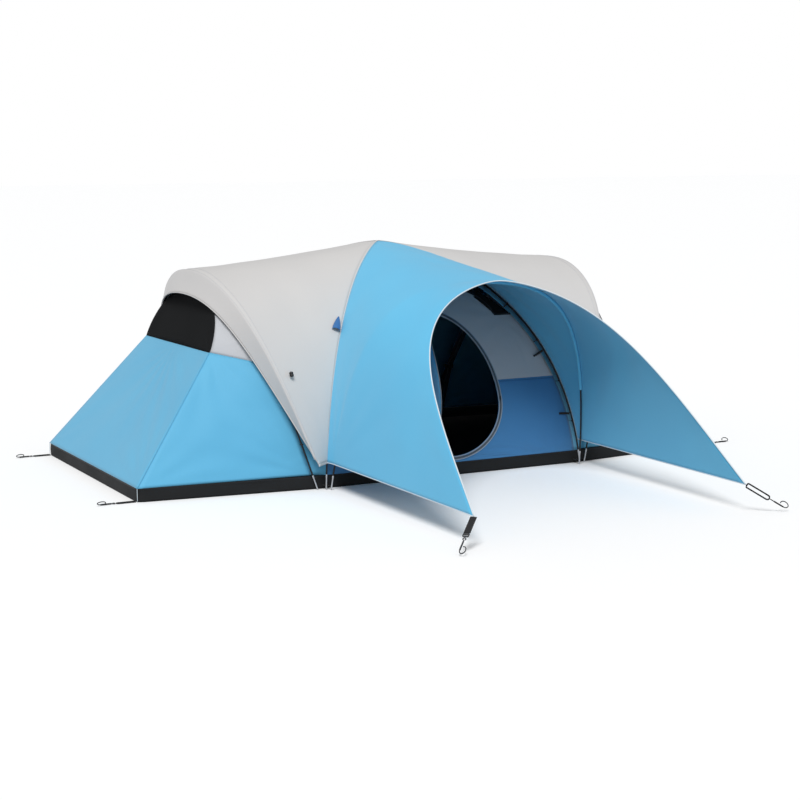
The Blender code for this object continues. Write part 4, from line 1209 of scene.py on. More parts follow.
    def build_trims(self) -> None:
        """Build the doorway's double piping, its zip tape and teeth, and the felled seam across the wall."""
        outward = np.array((0.0, -1.0, 0.3))
        loops = []
        for margin in (0.004, 0.030):
            half = self.egg(margin, 121)
            loops.append(np.vstack((half, (half * (-1.0, 1.0))[::-1][1:-1])))
        piping = [self.on_wall(loop, 0.004) for loop in loops]
        trim(
            "door_piping", piping, round_section(0.0030, 8), self.finishes.soft_piping, "grey_fabric",
            reference=outward, closed=True,
        )
        half = self.egg(0.017, 121)
        middle = np.vstack((half, (half * (-1.0, 1.0))[::-1][1:-1]))
        trim(
            "door_zip_tape", [self.on_wall(middle, 0.003)], flat_section(0.022, 0.0016),
            self.finishes.zip_tape, "black_plastic", reference=outward, closed=True,
        )
        trim(
            "door_zip_coil", [self.on_wall(middle, 0.005)], round_section(0.0022, 6), self.finishes.nylon,
            "black_plastic", reference=outward, closed=True,
        )
        seam = []
        for start, stop in ((self.half_width + 0.02, 1.0), (-1.0, -self.half_width - 0.02)):
            reach = float(self.lines.wall_half(np.array(self.lines.front_seam)))
            x = np.linspace(start if abs(start) < 1.0 else -reach, stop if abs(stop) < 1.0 else reach, 40)
            seam.append(self.on_wall(np.stack((x, np.full_like(x, self.lines.front_seam)), axis=1), 0.002))
        trim(
            # The seam gets the same darker blue, as painted shade.
            "front_wall_seam", seam, flat_section(0.010, 0.0018), self.finishes.shaded_room_blue, "blue_fabric",
            reference=outward,
        )


@dataclass
class Doorway:
    """The door flap, swung ajar on the doorway's left edge, and the zip's slider with its pull."""

    lines: TentLines
    room: MiddleRoom
    finishes: Finishes
    offset: float = 0.03
    margin: float = 0.03
    ajar: float = 95.0
    curl: float = 0.012

    def hinge(self) -> tuple[Array, Array]:
        """Return the hinge line's middle and its upward direction."""
        levels = np.array((self.room.sill, self.room.top))
        ends = self.lines.wall(np.full(2, -self.room.half_width - self.margin), levels)
        heights = np.linspace(self.room.sill, self.room.top, 9)
        points = self.lines.wall(np.zeros(9), heights)
        straight = np.linspace(points[0, 1], points[-1, 1], 9)
        ends[:, 1] -= self.offset + float(np.max(straight - points[:, 1]))
        up = ends[1] - ends[0]
        return (ends[0] + ends[1]) / 2.0, unit(up)

    def build(self) -> None:
        """Build the flap, an egg of rows turned about the hinge with its free edge curled, and the slider."""
        centre, up = self.hinge()
        angle = np.linspace(0.06, math.pi - 0.06, 49)
        rise = np.where(
            angle < math.pi / 2, self.room.middle - self.room.sill, self.room.top - self.room.middle
        )
        heights = self.room.middle - rise * np.cos(angle)
        reach = self.room.half_width * np.sin(angle)
        share = np.linspace(0.0, 1.0, 25)
        left = np.maximum(self.margin + self.room.half_width - reach, 0.012)
        right = self.margin + self.room.half_width + reach
        x = left[:, None] * (1.0 - share) + right[:, None] * share
        climb = (heights - centre[2]) / up[2]
        curl = self.curl * (x / (self.margin + 2 * self.room.half_width)) ** 2
        flat = x[..., None] * ACROSS + climb[:, None, None] * up + curl[..., None] * np.cross(ACROSS, up)
        turn = -math.radians(self.ajar)
        along_hinge = up * (flat @ up)[..., None]
        swung = centre + flat * math.cos(turn) + np.cross(up, flat) * math.sin(turn)
        grid = swung + along_hinge * (1 - math.cos(turn))
        grid = Drape(31, wave=0.004, fold=0.006, corners=((0.5, 0.0), (1.0, 0.5))).apply(grid)
        Cloth(
            "door_flap", [grid], self.finishes.wall_blue, "blue_fabric", ("door_panel",), "hung", body="door"
        ).build()
        rim = np.vstack((grid[:, -1], grid[::-1, 0][1:-1]))
        trim(
            "door_flap_binding", [rim], round_section(0.004, 8), self.finishes.zip_tape, "blue_fabric",
            body="door", reference=np.array((1.0, 0.1, 0.0)), closed=True,
        )
        low, high = (np.array(corner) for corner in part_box("zip_slider"))
        middle = (low + high) / 2.0
        size = np.array((0.45, 0.9, 1.0, 1.0, 0.85, 0.6, 0.6, 0.9))
        body = np.linspace(middle + (0, 0, 0.015), middle - (0, 0, 0.015), 8)
        trim(
            "zip_slider_body", [body], flat_section(0.012, 0.0065), self.finishes.nylon, "black_plastic",
            "zip_slider", body="slider", reference=FORWARD, size=size,
        )
        turn = np.linspace(0.0, 2 * math.pi, 25)[:-1]
        pull = middle + np.stack(
            (0.0035 * np.cos(turn), np.full_like(turn, -0.0042), 0.012 * np.sin(turn) - 0.012), axis=1
        )
        trim(
            "zip_pull", [pull], round_section(0.0011, 6), self.finishes.ferrule, "black_plastic",
            body="slider", reference=FORWARD, closed=True,
        )


@dataclass
class Fly:
    """The outer tent: two grey ends, a blue middle that runs out into the porch, and its trims."""

    lines: TentLines
    finishes: Finishes
    rows: int = 84
    sag: float = 0.02
    belly: float = 0.05
    skin: float = 0.0012
    edge_piping: float = 0.0046
    hem_piping: float = 0.0034
    sleeve: float = 0.0135
    sleeve_foot: float = 0.62
    stitched: tuple[int, int] = (13, 14)

    def shoulder(self, brow: Array, ridge: Array, count: int) -> Array:
        """Return the columns that wrap the fly round the bay's pole, from the lip to the ridge on top.

        Each column turns from the lip's normal towards the ridge's own direction, at the ridge's distance.

        Args:
            brow: The fly's outer edge.
            ridge: The line on top of the pole.
            count: How many columns.

        Returns:
            The grid from the lip's side to just before the ridge.
        """
        along = np.gradient(ridge, axis=0)
        along = along / np.linalg.norm(along, axis=1)[:, None]
        away = (ridge - HEART) * HEART_SHARES
        away = away / np.linalg.norm(away, axis=1)[:, None]
        down = brow - ridge
        down = down - along * np.sum(down * along, axis=1)[:, None]
        square = np.cross(along, down)
        square = square / np.linalg.norm(square, axis=1)[:, None]
        square = square * np.sign(np.sum(square * away, axis=1))[:, None]
        share = np.linspace(0.0, 1.0, count + 1)[:-1][None, :, None]
        turned = square[:, None] * (1.0 - share) + away[:, None] * share
        turned = turned / np.linalg.norm(turned, axis=2, keepdims=True)
        return ridge[:, None] + (turned - away[:, None]) * self.lines.fly_gap

    def side_grid(self) -> Array:
        """Return the right grey end's grid: its lip, the turn over the pole and the slope to the seam."""
        brow = resample(self.lines.brow(self.rows * 2), self.rows + 1)
        ridge = resample(self.lines.ridge(self.rows * 2), self.rows + 1)
        turn = self.shoulder(brow, ridge, 4)
        lip = ruled(brow, turn[:, 0], 9)
        slope = ruled(ridge, self.lines.fly_cross(self.rows), 28)
        rise = np.linspace(0.0, 1.0, self.rows + 1)[:, None]
        slope[:, :, 2] -= np.sin(np.linspace(0.0, math.pi, 29))[None, :] * rise**2 * self.sag
        return np.concatenate((lip, turn[:, 1:], slope), axis=1)

    def build_side(self, side: Side) -> None:
        """Build one grey end over the top in one piece, with its edge binding and twin rows of stitching."""
        name, mirror = side.value, side.mirror
        front = self.side_grid()
        whole_end = np.concatenate((front, (front * MIRROR_Y)[::-1][1:]), axis=0)
        drape = Drape(41, wave=0.0016, fold=0.0022, corners=((0.0, 1.0), (1.0, 1.0)), reach=0.45)
        grid = drape.apply(whole_end)
        Cloth(
            f"grey_end_{name}", [grid * mirror], self.finishes.fly_grey, "grey_fabric", (f"fly_{name}",),
            thickness=self.skin,
        ).build()
        edge = grid[:, 0]
        trim(
            f"grey_end_binding_{name}", [edge * mirror], flat_section(0.007, 0.010), self.finishes.fly_grey,
            "grey_fabric", reference=np.array((1.0, 0.0, 0.3)) * mirror,
        )
        hems = [row * mirror for row in (grid[0], grid[-1])]
        trim(f"grey_hem_{name}", hems, flat_section(0.004, 0.016), self.finishes.fly_grey, "grey_fabric")
        normals = grid_normals(grid)
        outward = normals * np.sign((normals[..., 2:] > 0) - 0.5)
        rows = [(grid[:, column] + outward[:, column] * 0.0012) * mirror for column in self.stitched]
        trim(
            f"ridge_stitching_{name}", rows, round_section(0.0011, 5), self.finishes.wall_grey, "grey_fabric",
            reference=np.array((0.2, 0.4, 1.0)),
        )
        seam_front = grid[: self.rows + 1, -1] + outward[: self.rows + 1, -1] * 0.0015
        seam_back = grid[self.rows :, -1] + outward[self.rows :, -1] * 0.0015
        seams = [seam_front * mirror, seam_back * mirror]
        trim(
            f"crossed_pole_seam_{name}", seams, flat_section(0.014, 0.0022), self.finishes.fly_grey,
            "grey_fabric", reference=np.array((0.0, 0.0, 1.0)),
        )

    def build_porch(self) -> None:
        """Build the blue roof and both porch wings as one sheet, with piping on its front edge and hems."""
        seam = whole(self.lines.fly_cross(self.rows))
        porch = whole(self.lines.fly_porch(self.rows))
        edge = whole(self.lines.wing_edge(self.rows))
        pulled = ((0.5, 0.0), (0.0, 1.0), (1.0, 1.0))
        roof = Drape(51, wave=0.002, fold=0.003, corners=pulled).apply(ruled(seam, porch, 24))
        pulled = ((0.0, 1.0), (1.0, 1.0), (0.0, 0.0), (1.0, 0.0))
        wings = Drape(52, wave=0.003, fold=0.005, corners=pulled, reach=0.7, fan=13.0)
        wings = wings.apply(ruled(porch, edge, 34))
        nodes = ("fly_front", "wing_left", "wing_right")
        Cloth(
            "blue_porch", [roof, wings], self.finishes.fly_blue, "blue_fabric", nodes, thickness=self.skin
        ).build()
        outward = np.array((0.0, -1.0, 0.4))
        trim(
            "porch_edge_piping", [edge], round_section(self.edge_piping, 8), self.finishes.piping,
            "blue_fabric", reference=outward,
        )
        hems = [np.vstack((roof[end], wings[end][1:])) for end in (0, -1)]
        trim("porch_hem_piping", hems, round_section(self.hem_piping, 8), self.finishes.piping, "blue_fabric")
        arch = self.lines.porch(192)
        arch = between(arch, self.sleeve_foot, float(arch[-1, 2]), 80)
        trim(
            "porch_pole_sleeve", [whole(arch)], round_section(self.sleeve, 12), self.finishes.fly_blue,
            "blue_fabric", reference=np.array((0.0, -1.0, 0.2)),
        )

    def build_back(self) -> None:
        """Build the blue back panel, slightly full between the crossed poles."""
        seam = (self.lines.fly_cross(self.rows) * MIRROR_Y)[:-1]
        share = np.linspace(-1.0, 1.0, 49)[None, :]
        grid = np.zeros((len(seam), 49, 3))
        grid[:, :, 0] = seam[:, :1] * share
        grid[:, :, 1] = seam[:, 1:2] + (1.0 - share**2) * self.belly * (seam[:, :1] / self.lines.half_span)
        grid[:, :, 2] = seam[:, 2:]
        grid = Drape(53, wave=0.004, fold=0.006, corners=((0.0, 0.0), (0.0, 1.0))).apply(grid)
        Cloth(
            "blue_back", [grid], self.finishes.fly_blue, "blue_fabric", ("fly_back",), thickness=self.skin
        ).build()
        trim("back_hem_tape", [grid[0]], flat_section(0.004, 0.016), self.finishes.fly_blue, "blue_fabric")

    def build(self) -> None:
        """Build the whole fly."""
        for side in Side:
            self.build_side(side)
        self.build_porch()
        self.build_back()


@dataclass
class PoleFrame:
    """The fibreglass poles with their ferrules, steel tips, clips and foot straps."""

    lines: TentLines
    finishes: Finishes
    tip_radius: float = 0.0055
    tip_gap: float = 0.002
    ferrule_step: float = 0.62
    ferrule_length: float = 0.045
    clip_heights: tuple[float, ...] = (0.34, 0.66, 0.98, 1.26)
    references: Mapping[str, tuple[float, float, float]] = field(
        default_factory=lambda: {
            "cross": (1.0, 0.13, 0.07), "arc": (1.0, 0.05, 0.11), "porch": (0.21, 1.0, 0.05),
        }
    )
    tab_length: float = 0.085
    tab_places: tuple[tuple[float, float], ...] = ((0.90, 0.05), (0.40, 0.0))

    def halves(self) -> dict[str, tuple[Array, Array, str, str]]:
        """Return each pole's two halves, foot to apex, with the nodes of its two tips."""
        lift = self.lines.pole + 0.0005
        over, under = self.lines.cross(160, lift), self.lines.cross(160, -lift)
        arc, porch = self.lines.arc(160), self.lines.porch(160)
        return {
            "cross_pole_a": (
                under * MIRROR_X, under * MIRROR_Y, "tip_cross_front_left", "tip_cross_back_right"
            ),
            "cross_pole_b": (
                over, over * MIRROR_X * MIRROR_Y, "tip_cross_front_right", "tip_cross_back_left"
            ),
            "arc_pole_right": (arc, arc * MIRROR_Y, "tip_arc_front_right", "tip_arc_back_right"),
            "arc_pole_left": (
                arc * MIRROR_X, arc * MIRROR_X * MIRROR_Y, "tip_arc_front_left", "tip_arc_back_left"
            ),
            "porch_pole": (porch, porch * MIRROR_X, "tip_porch_right", "tip_porch_left"),
        }

    def build_tip(self, name: str, half: Array) -> Array:
        """Build a turned steel tip on a pole's foot, a profile of collar, pin and rounded end.

        Args:
            name: The tip's node.
            half: The pole's line from its foot.

        Returns:
            The rest of the pole's line, from just above the tip.
        """
        run = run_of(half)
        top = at(half, run, np.array((self.lines.tip,)))[0]
        along = unit(top - half[0])
        slope = math.sqrt(max(0.0, 1.0 - along[2] ** 2))
        foot = half[0] + along * (self.tip_radius * slope / along[2])
        share = np.array((0.0, 0.004, 0.012, 0.03, 0.30, 0.70, 0.80, 0.82, 0.84, 0.97, 1.0))
        width = np.array((0.45, 0.72, 0.92, 1.0, 1.0, 1.0, 1.0, 1.18, 1.18, 1.18, 1.0))
        path = foot + (top - foot) * share[:, None]
        trim(
            f"{name}_pin", [path], round_section(self.tip_radius, 16), self.finishes.steel, "steel_tip", name,
            reference=np.array((1.0, 0.2, 0.1)), size=width,
        )
        rest = np.linspace(self.lines.tip + self.tip_gap, run[-1], 150)
        return at(half, run, rest)

    def build(self) -> None:
        """Build the poles, ferrules, clips and foot straps."""
        ferrules, straps, rings = [], [], []
        for name, (near, far, near_tip, far_tip) in self.halves().items():
            line = np.vstack((self.build_tip(near_tip, near), self.build_tip(far_tip, far)[::-1][1:]))
            reference = np.array(self.references[name.split("_")[0]])
            trim(
                f"{name}_rod", [line], round_section(self.lines.pole, 14), self.finishes.fibreglass,
                "fibreglass", name, reference=reference,
            )
            run = run_of(line)
            for start in np.arange(self.ferrule_step, run[-1] - 0.2, self.ferrule_step):
                ferrules.append(at(line, run, np.linspace(start, start + self.ferrule_length, 6)))
            for half in (near, far):
                self.add_clips(half, name, rings, straps)
        trim(
            "pole_ferrules", ferrules, round_section(self.lines.pole + 0.0008, 12), self.finishes.ferrule,
            "steel_tip", reference=np.array((0.9, 0.31, 0.17)),
        )
        trim(
            "pole_clips", rings, flat_section(0.007, 0.010), self.finishes.nylon, "black_plastic",
            reference=np.array((0.3, 0.1, 1.0)), closed=True,
        )
        trim(
            "pole_straps", straps, flat_section(0.016, 0.0018), self.finishes.webbing, "black_webbing",
            reference=np.array((0.1, 0.2, 1.0)),
        )
        trim(
            "pole_tabs", self.tabs(), flat_section(0.020, 0.0022), self.finishes.webbing, "black_webbing",
            reference=np.array((0.06, 1.0, 0.3)),
        )

    def tabs(self) -> list[Array]:
        """Return the webbing tabs that tie the middle room's walls to the crossed poles."""
        pole = self.lines.cross(160)
        tabs = []
        for height, fall in self.tab_places:
            place = between(pole, height, height + 0.02, 2)[0]
            x = place[0] - self.tab_length
            end = self.lines.wall(np.array((x,)), np.array((height - fall,)))[0]
            end[1] -= 0.004
            start = place + unit(end - place) * (self.lines.pole + 0.002)
            tab = np.linspace(start, end, 8)
            tabs += [tab * mirror for mirror in (SAME, MIRROR_X, MIRROR_Y, MIRROR_X * MIRROR_Y)]
        return tabs

    def add_clips(self, half: Array, name: str, rings: list[Array], straps: list[Array]) -> None:
        """Add the clip rings and the short straps that hold the inner tent to one half of a pole."""
        heights = () if name.startswith("porch") else self.clip_heights
        outward = np.sign(half[0, 1])
        for height in heights:
            place = between(half, height, height + 0.02, 2)[0]
            to_front = np.array((1.0, -outward, 1.0))
            inward = unit(push_out(place[None] * to_front, -1.0)[0] * to_front - place)
            slack = 0.0
            if name.startswith("arc"):
                slack = self.lines.bay_slack * min(height / self.lines.slack_from, 1.0)
            end = place + inward * (self.lines.hang + self.lines.pole + slack - 0.001)
            straps.append(np.linspace(place + inward * (self.lines.pole + 0.004), end, 6))
            turn = np.linspace(0.0, 2 * math.pi, 17)[:-1]
            level = unit(np.cross(inward, UP))
            radius = self.lines.pole + 0.0035
            rings.append(place + radius * (np.cos(turn)[:, None] * inward + np.sin(turn)[:, None] * level))
        foot = half[0].copy()
        tub_edge = foot.copy()
        tub_edge[1] = outward * (
            self.lines.half_middle + 0.001 - 0.125 * max(0.0, abs(foot[0]) - self.lines.half_span)
        )
        tub_edge[2], foot[2] = 0.030, 0.034
        foot[1] -= outward * (self.tip_radius + 0.003)
        if abs(foot[1] - tub_edge[1]) > 0.012:
            hang = np.sin(np.linspace(0, math.pi, 8))[:, None] * (0, 0, -0.006)
            straps.append(np.linspace(foot, tub_edge, 8) + hang)


@dataclass
class Curtain:
    """The room divider, a gathered sheet tied back, and its tie."""

    finishes: Finishes
    place: float = 1.10
    top: tuple[float, float] = (0.10, 1.43)
    tie: tuple[float, float] = (0.79, 0.553)
    foot: tuple[float, float] = (1.02, 0.16)
    radii: tuple[float, float, float] = (0.034, 0.026, 0.062)
    pleats: int = 15

    def build(self) -> None:
        """Build the sheet as rows of deep pleats round a middle line, and the flat tie.

        A row's radius swings between 30 and 100 per cent of the bundle's as its angle passes each pleat.
        """
        top, tie, foot = (np.array((self.place, *end)) for end in (self.top, self.tie, self.foot))
        share = np.linspace(0.0, 1.0, 41)[:, None]
        line = np.vstack((top + (tie - top) * share, tie + (foot - tie) * share[1:]))
        line = smooth(line, 12)
        run = run_of(line)
        knot = float(np.linalg.norm(tie - top))
        radius = np.interp(
            run, (0.0, knot * 0.6, knot, knot + 0.10, run[-1]),
            (self.radii[0], 0.034, self.radii[1], 0.034, self.radii[2]),
        )
        angle = np.linspace(0.0, 2 * math.pi * 0.97, self.pleats * 14)[None, :]
        drift = run[:, None] * 0.9
        phase = self.pleats * angle + 0.8 * np.sin(drift * 2.0) + 0.5 * np.sin(3.0 * angle)
        reach = radius[:, None] * (0.65 + 0.35 * np.sin(phase))
        around = angle + 0.15 * drift
        ring = np.stack((reach * np.cos(around), reach * np.sin(around), np.zeros_like(reach)), axis=-1)
        grid = line[:, None, :] + ring
        # The curtain's cloth is the darkened navy, partly its own colour and partly painted shade of the room
        # inside.
        Cloth(
            "gathered_curtain", [grid], self.finishes.shaded_lining, "curtain_fabric", ("divider_curtain",),
            "gathered", thickness=0.0008,
        ).build()
        turn = np.linspace(0.0, 2 * math.pi, 41)[:-1]
        ring = tie + 0.0375 * np.stack((np.cos(turn), np.sin(turn), np.zeros_like(turn)), axis=1)
        trim(
            "curtain_tie_band", [ring], flat_section(0.002, 0.028), self.finishes.webbing, "black_webbing",
            "curtain_tie", closed=True,
        )


@dataclass
class GroundGear:
    """The elastic loops, the strap with its ladder lock, and the twisted wire hooks."""

    lines: TentLines
    finishes: Finishes
    loop: float = 0.13
    loop_width: float = 0.030
    loop_radius: float = 0.004
    wing_loop_radius: float = 0.0055
    hook_lift: float = 0.0018
    hook_lean: float = 42.0
    wing_hook_lean: float = 75.0
    gap: float = 0.02
    wing_loop: float = 0.16
    right_pull: tuple[float, float, float] = (0.60, -0.26, -0.40)
    left_pull: tuple[float, float, float] = (-0.50, -0.42, -0.42)
    shank: float = 0.085
    eye: float = 0.010
    bow: float = 0.019
    wire: float = 0.0030
    wire_factor: float = 1.15
    rest: float = 0.0045
    strap_width: float = 0.034
    strap_extra: float = 0.012
    strap_length: float = 0.13
    buckle: tuple[float, float, float] = (0.046, 0.012, 0.036)
    touch: float = 0.0005

    def hook(self, name: str, start: Array, direction: Array, body: str, lean: float) -> None:
        """Build a hook of one wire doubled back and twisted: eye, two-strand shank and open bow.

        Args:
            name: The hook's node.
            start: Its eye's centre.
            direction: The way that its shank runs.
            body: The body that it rides.
            lean: How far the bow leans up out of the level, in degrees.
        """
        along = unit(direction)
        level = unit(np.cross(UP, along))
        normal = np.cross(along, level)
        radius = self.wire * self.wire_factor
        turn = np.linspace(0.12 * math.pi, 1.88 * math.pi, 24)[:, None]
        eye = start + self.eye * (np.cos(turn) * along + np.sin(turn) * level)
        base = start + along * (self.eye + self.shank)
        share = np.linspace(0.0, 1.0, 56)[:, None]
        neck = start + along * self.eye * 1.9
        twist = share * 7.0 * 2 * math.pi
        strands = []
        for phase in (0.0, math.pi):
            offset = radius * 0.8 * (np.cos(twist + phase) * level + np.sin(twist + phase) * normal)
            strands.append(neck + (base - neck) * share + offset)
        sweep_angle = np.linspace(0.0, math.pi * 1.6, 26)[:, None]
        aside = level * math.cos(math.radians(lean)) + normal * math.sin(math.radians(lean))
        bow = base + along * self.bow * 1.6 * np.sin(sweep_angle)
        bow = bow + aside * self.bow * (1.0 - np.cos(sweep_angle))
        main = np.vstack((eye, strands[0], bow[1:]))
        main = smooth(resample(main, 150), 2)
        trim(
            f"{name}_wire", [main, strands[1]], round_section(radius, 8), self.finishes.wire, "wire_hook",
            name, body=body, reference=np.array((0.13, 0.21, 1.0)),
        )

    def loop_line(self, anchor: Array, eye: Array, upright: bool) -> Array:
        """Return an elastic loop's line: out, round the hook's eye and back, its sides level or upright."""
        along = unit(eye - anchor)
        level = unit(np.cross(UP, along))
        if upright:
            level = np.cross(along, level)
        half = self.loop_width / 2
        share = np.linspace(0.0, 1.0, 20)[:, None]
        out = anchor + (eye - anchor) * share + level * half
        turn = np.linspace(0.0, math.pi, 14)[1:-1, None]
        bend = eye + half * (np.sin(turn) * along + np.cos(turn) * level)
        return np.vstack((out, bend, (out - level * self.loop_width)[::-1]))

    def elastic(self, node: str, anchor: Array, eye: Array, upright: bool = False) -> None:
        """Build one elastic loop."""
        line = self.loop_line(anchor, eye, upright)
        radius = self.loop_radius
        if upright:
            line = smooth(resample(np.vstack((anchor, line, anchor)), 60), 1)
            radius = self.wing_loop_radius
        piece = sweep(
            f"{node}_cord", [line], round_section(radius, 10), self.finishes.webbing,
            np.array((0.05, 0.1, 1.0)),
        )
        fit(piece, "tent", "black_webbing", node)

    def build(self) -> None:
        """Build the gear at the tub's four corners and at both wing tips."""
        for end, x_sign in (("right", 1.0), ("left", -1.0)):
            for side, y_sign in (("front", -1.0), ("back", 1.0)):
                y = y_sign * (self.lines.half_end - 0.03)
                edge = self.lines.half_length + self.loop_radius + self.touch
                anchor = np.array((x_sign * edge, y, self.rest))
                eye = np.array((x_sign * (self.lines.half_length + self.loop), y, self.rest))
                self.elastic(f"corner_loop_{side}_{end}", anchor, eye)
                reach = self.loop_width / 2 + self.loop_radius + self.wire + self.eye + 0.002
                start = eye + np.array((x_sign * reach, 0.0, self.hook_lift))
                body = f"hookbody_{side}_{end}"
                self.hook(f"hook_{side}_{end}", start, ACROSS * x_sign, body, self.hook_lean)
        self.build_wing_gear()

    def build_wing_gear(self) -> None:
        """Build the right wing's loop, the left wing's strap and ladder lock, and their hooks."""
        tip = np.array((self.lines.wing_half, -self.lines.wing_reach, self.lines.wing_height))
        way = unit(np.array(self.right_pull))
        eye = tip + way * (self.gap + self.wing_loop)
        self.elastic("wing_loop_right", tip + way * 0.008, eye, upright=True)
        start = eye + way * (self.loop_width / 2 + self.loop_radius + self.wire + self.eye + 0.002)
        self.hook("hook_wing_right", start, way, "hookbody_wing_right", self.wing_hook_lean)
        left = tip * MIRROR_X
        way = unit(np.array(self.left_pull))
        level = unit(np.cross(UP, way))
        face = np.cross(way, level)
        strap = np.linspace(left + way * 0.004, left + way * (self.gap + self.strap_length), 14)
        trim(
            "wing_strap_webbing", [strap], flat_section(self.strap_width + self.strap_extra, 0.0024),
            self.finishes.webbing, "black_webbing", "wing_strap_left", reference=face,
        )
        middle = left + way * (self.gap + self.strap_length + self.touch + self.buckle[2] / 2)
        self.build_buckle(middle, way, level, face)
        start = left + way * (self.gap + self.strap_length + self.buckle[2] + self.eye + self.wire + 0.004)
        self.hook("hook_wing_left", start, way, "hookbody_wing_left", 0.0)

    def build_buckle(self, middle: Array, way: Array, level: Array, face: Array) -> None:
        """Build the ladder lock: a rounded frame and three cross bars, the middle one raised."""
        half_width, half_length = self.buckle[0] / 2 - 0.003, self.buckle[2] / 2 - 0.003
        turn = np.linspace(0.0, 2 * math.pi, 49)[:-1]
        x = np.sign(np.cos(turn)) * np.abs(np.cos(turn)) ** 0.4 * half_width
        y = np.sign(np.sin(turn)) * np.abs(np.sin(turn)) ** 0.4 * half_length
        rim = middle + x[:, None] * level + y[:, None] * way
        outline = sweep(
            "ladder_lock_rim", [rim], round_section(0.0030, 8), self.finishes.nylon, face, closed=True
        )
        bars = []
        for place, lift in ((-0.45, 0.0), (0.05, 0.0025), (0.5, 0.0)):
            centre = middle + way * half_length * place + face * lift
            bars.append(np.linspace(centre - level * half_width, centre + level * half_width, 7))
        cross = sweep("ladder_lock_bars", bars, round_section(0.0021, 8), self.finishes.nylon, face)
        joined = join_pieces("ladder_lock_body", [outline, cross])
        fit(joined, "buckle", "black_plastic", "ladder_lock")


@dataclass
class SmallFittings:
    """The vent hoods on the front seams and the cord locks that hang at the bays' fronts."""

    lines: TentLines
    finishes: Finishes
    length: float = 0.14
    width: float = 0.062
    depth: float = 0.030
    foot: float = 1.12
    from_seam: float = 0.010
    lock_up: float = 1 / 3
    lock_across: float = 0.18
    lock_radius: float = 0.011
    lock_factor: float = 1.4
    lock_length: float = 0.036
    lock_standoff: float = 0.016

    def build(self) -> None:
        """Build the hoods and the locks on both sides."""
        for side in Side:
            self.build_hood(side)
            self.build_lock(side)

    def build_hood(self, side: Side) -> None:
        """Build a hood: arched rows from a point at its top to an open mouth, with a dark end inside."""
        seam = between(self.lines.fly_cross(112), self.foot, self.foot + self.length, 2)
        ridge = between(self.lines.ridge(112), self.foot, self.foot + self.length, 2)
        up = unit(seam[1] - seam[0])
        across = ridge[0] - seam[0]
        across = across - up * float(across @ up)
        level = unit(across)
        out = np.cross(level, up)
        out = out * math.copysign(1.0, float(out @ (0.0, -1.0, 1.0)))
        base = seam[0] + level * (self.width / 2 + self.from_seam) + out * 0.008
        share = np.linspace(0.02, 1.0, 22)[:, None]
        angle = np.linspace(0.0, math.pi, 19)[None, :]
        swell = np.sin(share * math.pi / 2) ** 0.8
        half, rise = self.width / 2 * swell, self.depth * swell**1.3
        spread = (-np.cos(angle) * half)[..., None] * level + (np.sin(angle) * rise)[..., None] * out
        grid = base + up * (self.length * (1.0 - share))[..., None] + spread
        body = f"hood_{side.value}"
        nodes = (f"vent_hood_{side.value}",)
        hood = [grid * side.mirror]
        Cloth(f"hood_{side.value}", hood, self.finishes.hood_blue, "blue_fabric", nodes, body=body).build()
        back = grid[-4]
        centre = back.mean(axis=0)
        fill = ruled(np.repeat(centre[None], len(back), axis=0), back * 0.97 + centre * 0.03, 3)
        Cloth(
            f"hood_end_{side.value}", [fill * side.mirror], self.finishes.netting, "mesh_fabric", body=body
        ).build()

    def build_lock(self, side: Side) -> None:
        """Build a cord lock: a barrel with a collar, a spring button, and the short cord that it hangs on."""
        ridge = resample(self.lines.ridge(56), 29)
        seam = self.lines.fly_cross(28)
        row = int(round(self.lock_up * 28))
        across = seam[row] - ridge[row]
        root = ridge[row] + across * self.lock_across
        outward = np.cross(ridge[row + 1] - ridge[row - 1], across)
        outward = unit(outward) * math.copysign(1.0, -outward[1])
        spot = root + outward * (self.lock_radius + self.lock_standoff)
        down = unit(np.array((0.0, 0.0, -1.0)) + outward * outward[2])
        share = np.array((0.0, 0.02, 0.08, 0.30, 0.42, 0.44, 0.56, 0.58, 0.90, 0.98, 1.0))
        width = np.array((0.55, 0.80, 0.92, 1.0, 1.0, 0.80, 0.80, 1.0, 0.94, 0.75, 0.5))
        line = (spot + down * self.lock_length * share[:, None]) * side.mirror
        trim(
            f"cord_lock_barrel_{side.value}", [line], round_section(self.lock_radius * self.lock_factor, 16),
            self.finishes.nylon, "black_plastic", f"cord_lock_{side.value}", body=f"lock_{side.value}",
            reference=np.array((0.0, 1.0, 0.1)), size=width,
        )
        hang = bezier(root, root + outward * 0.03, spot - down * 0.03, spot + down * 0.004, 16)
        trim(
            f"cord_lock_cord_{side.value}", [hang * side.mirror], round_section(0.0018, 8),
            self.finishes.wall_grey, "grey_fabric", reference=np.array((0.0, 1.0, 0.1)),
        )


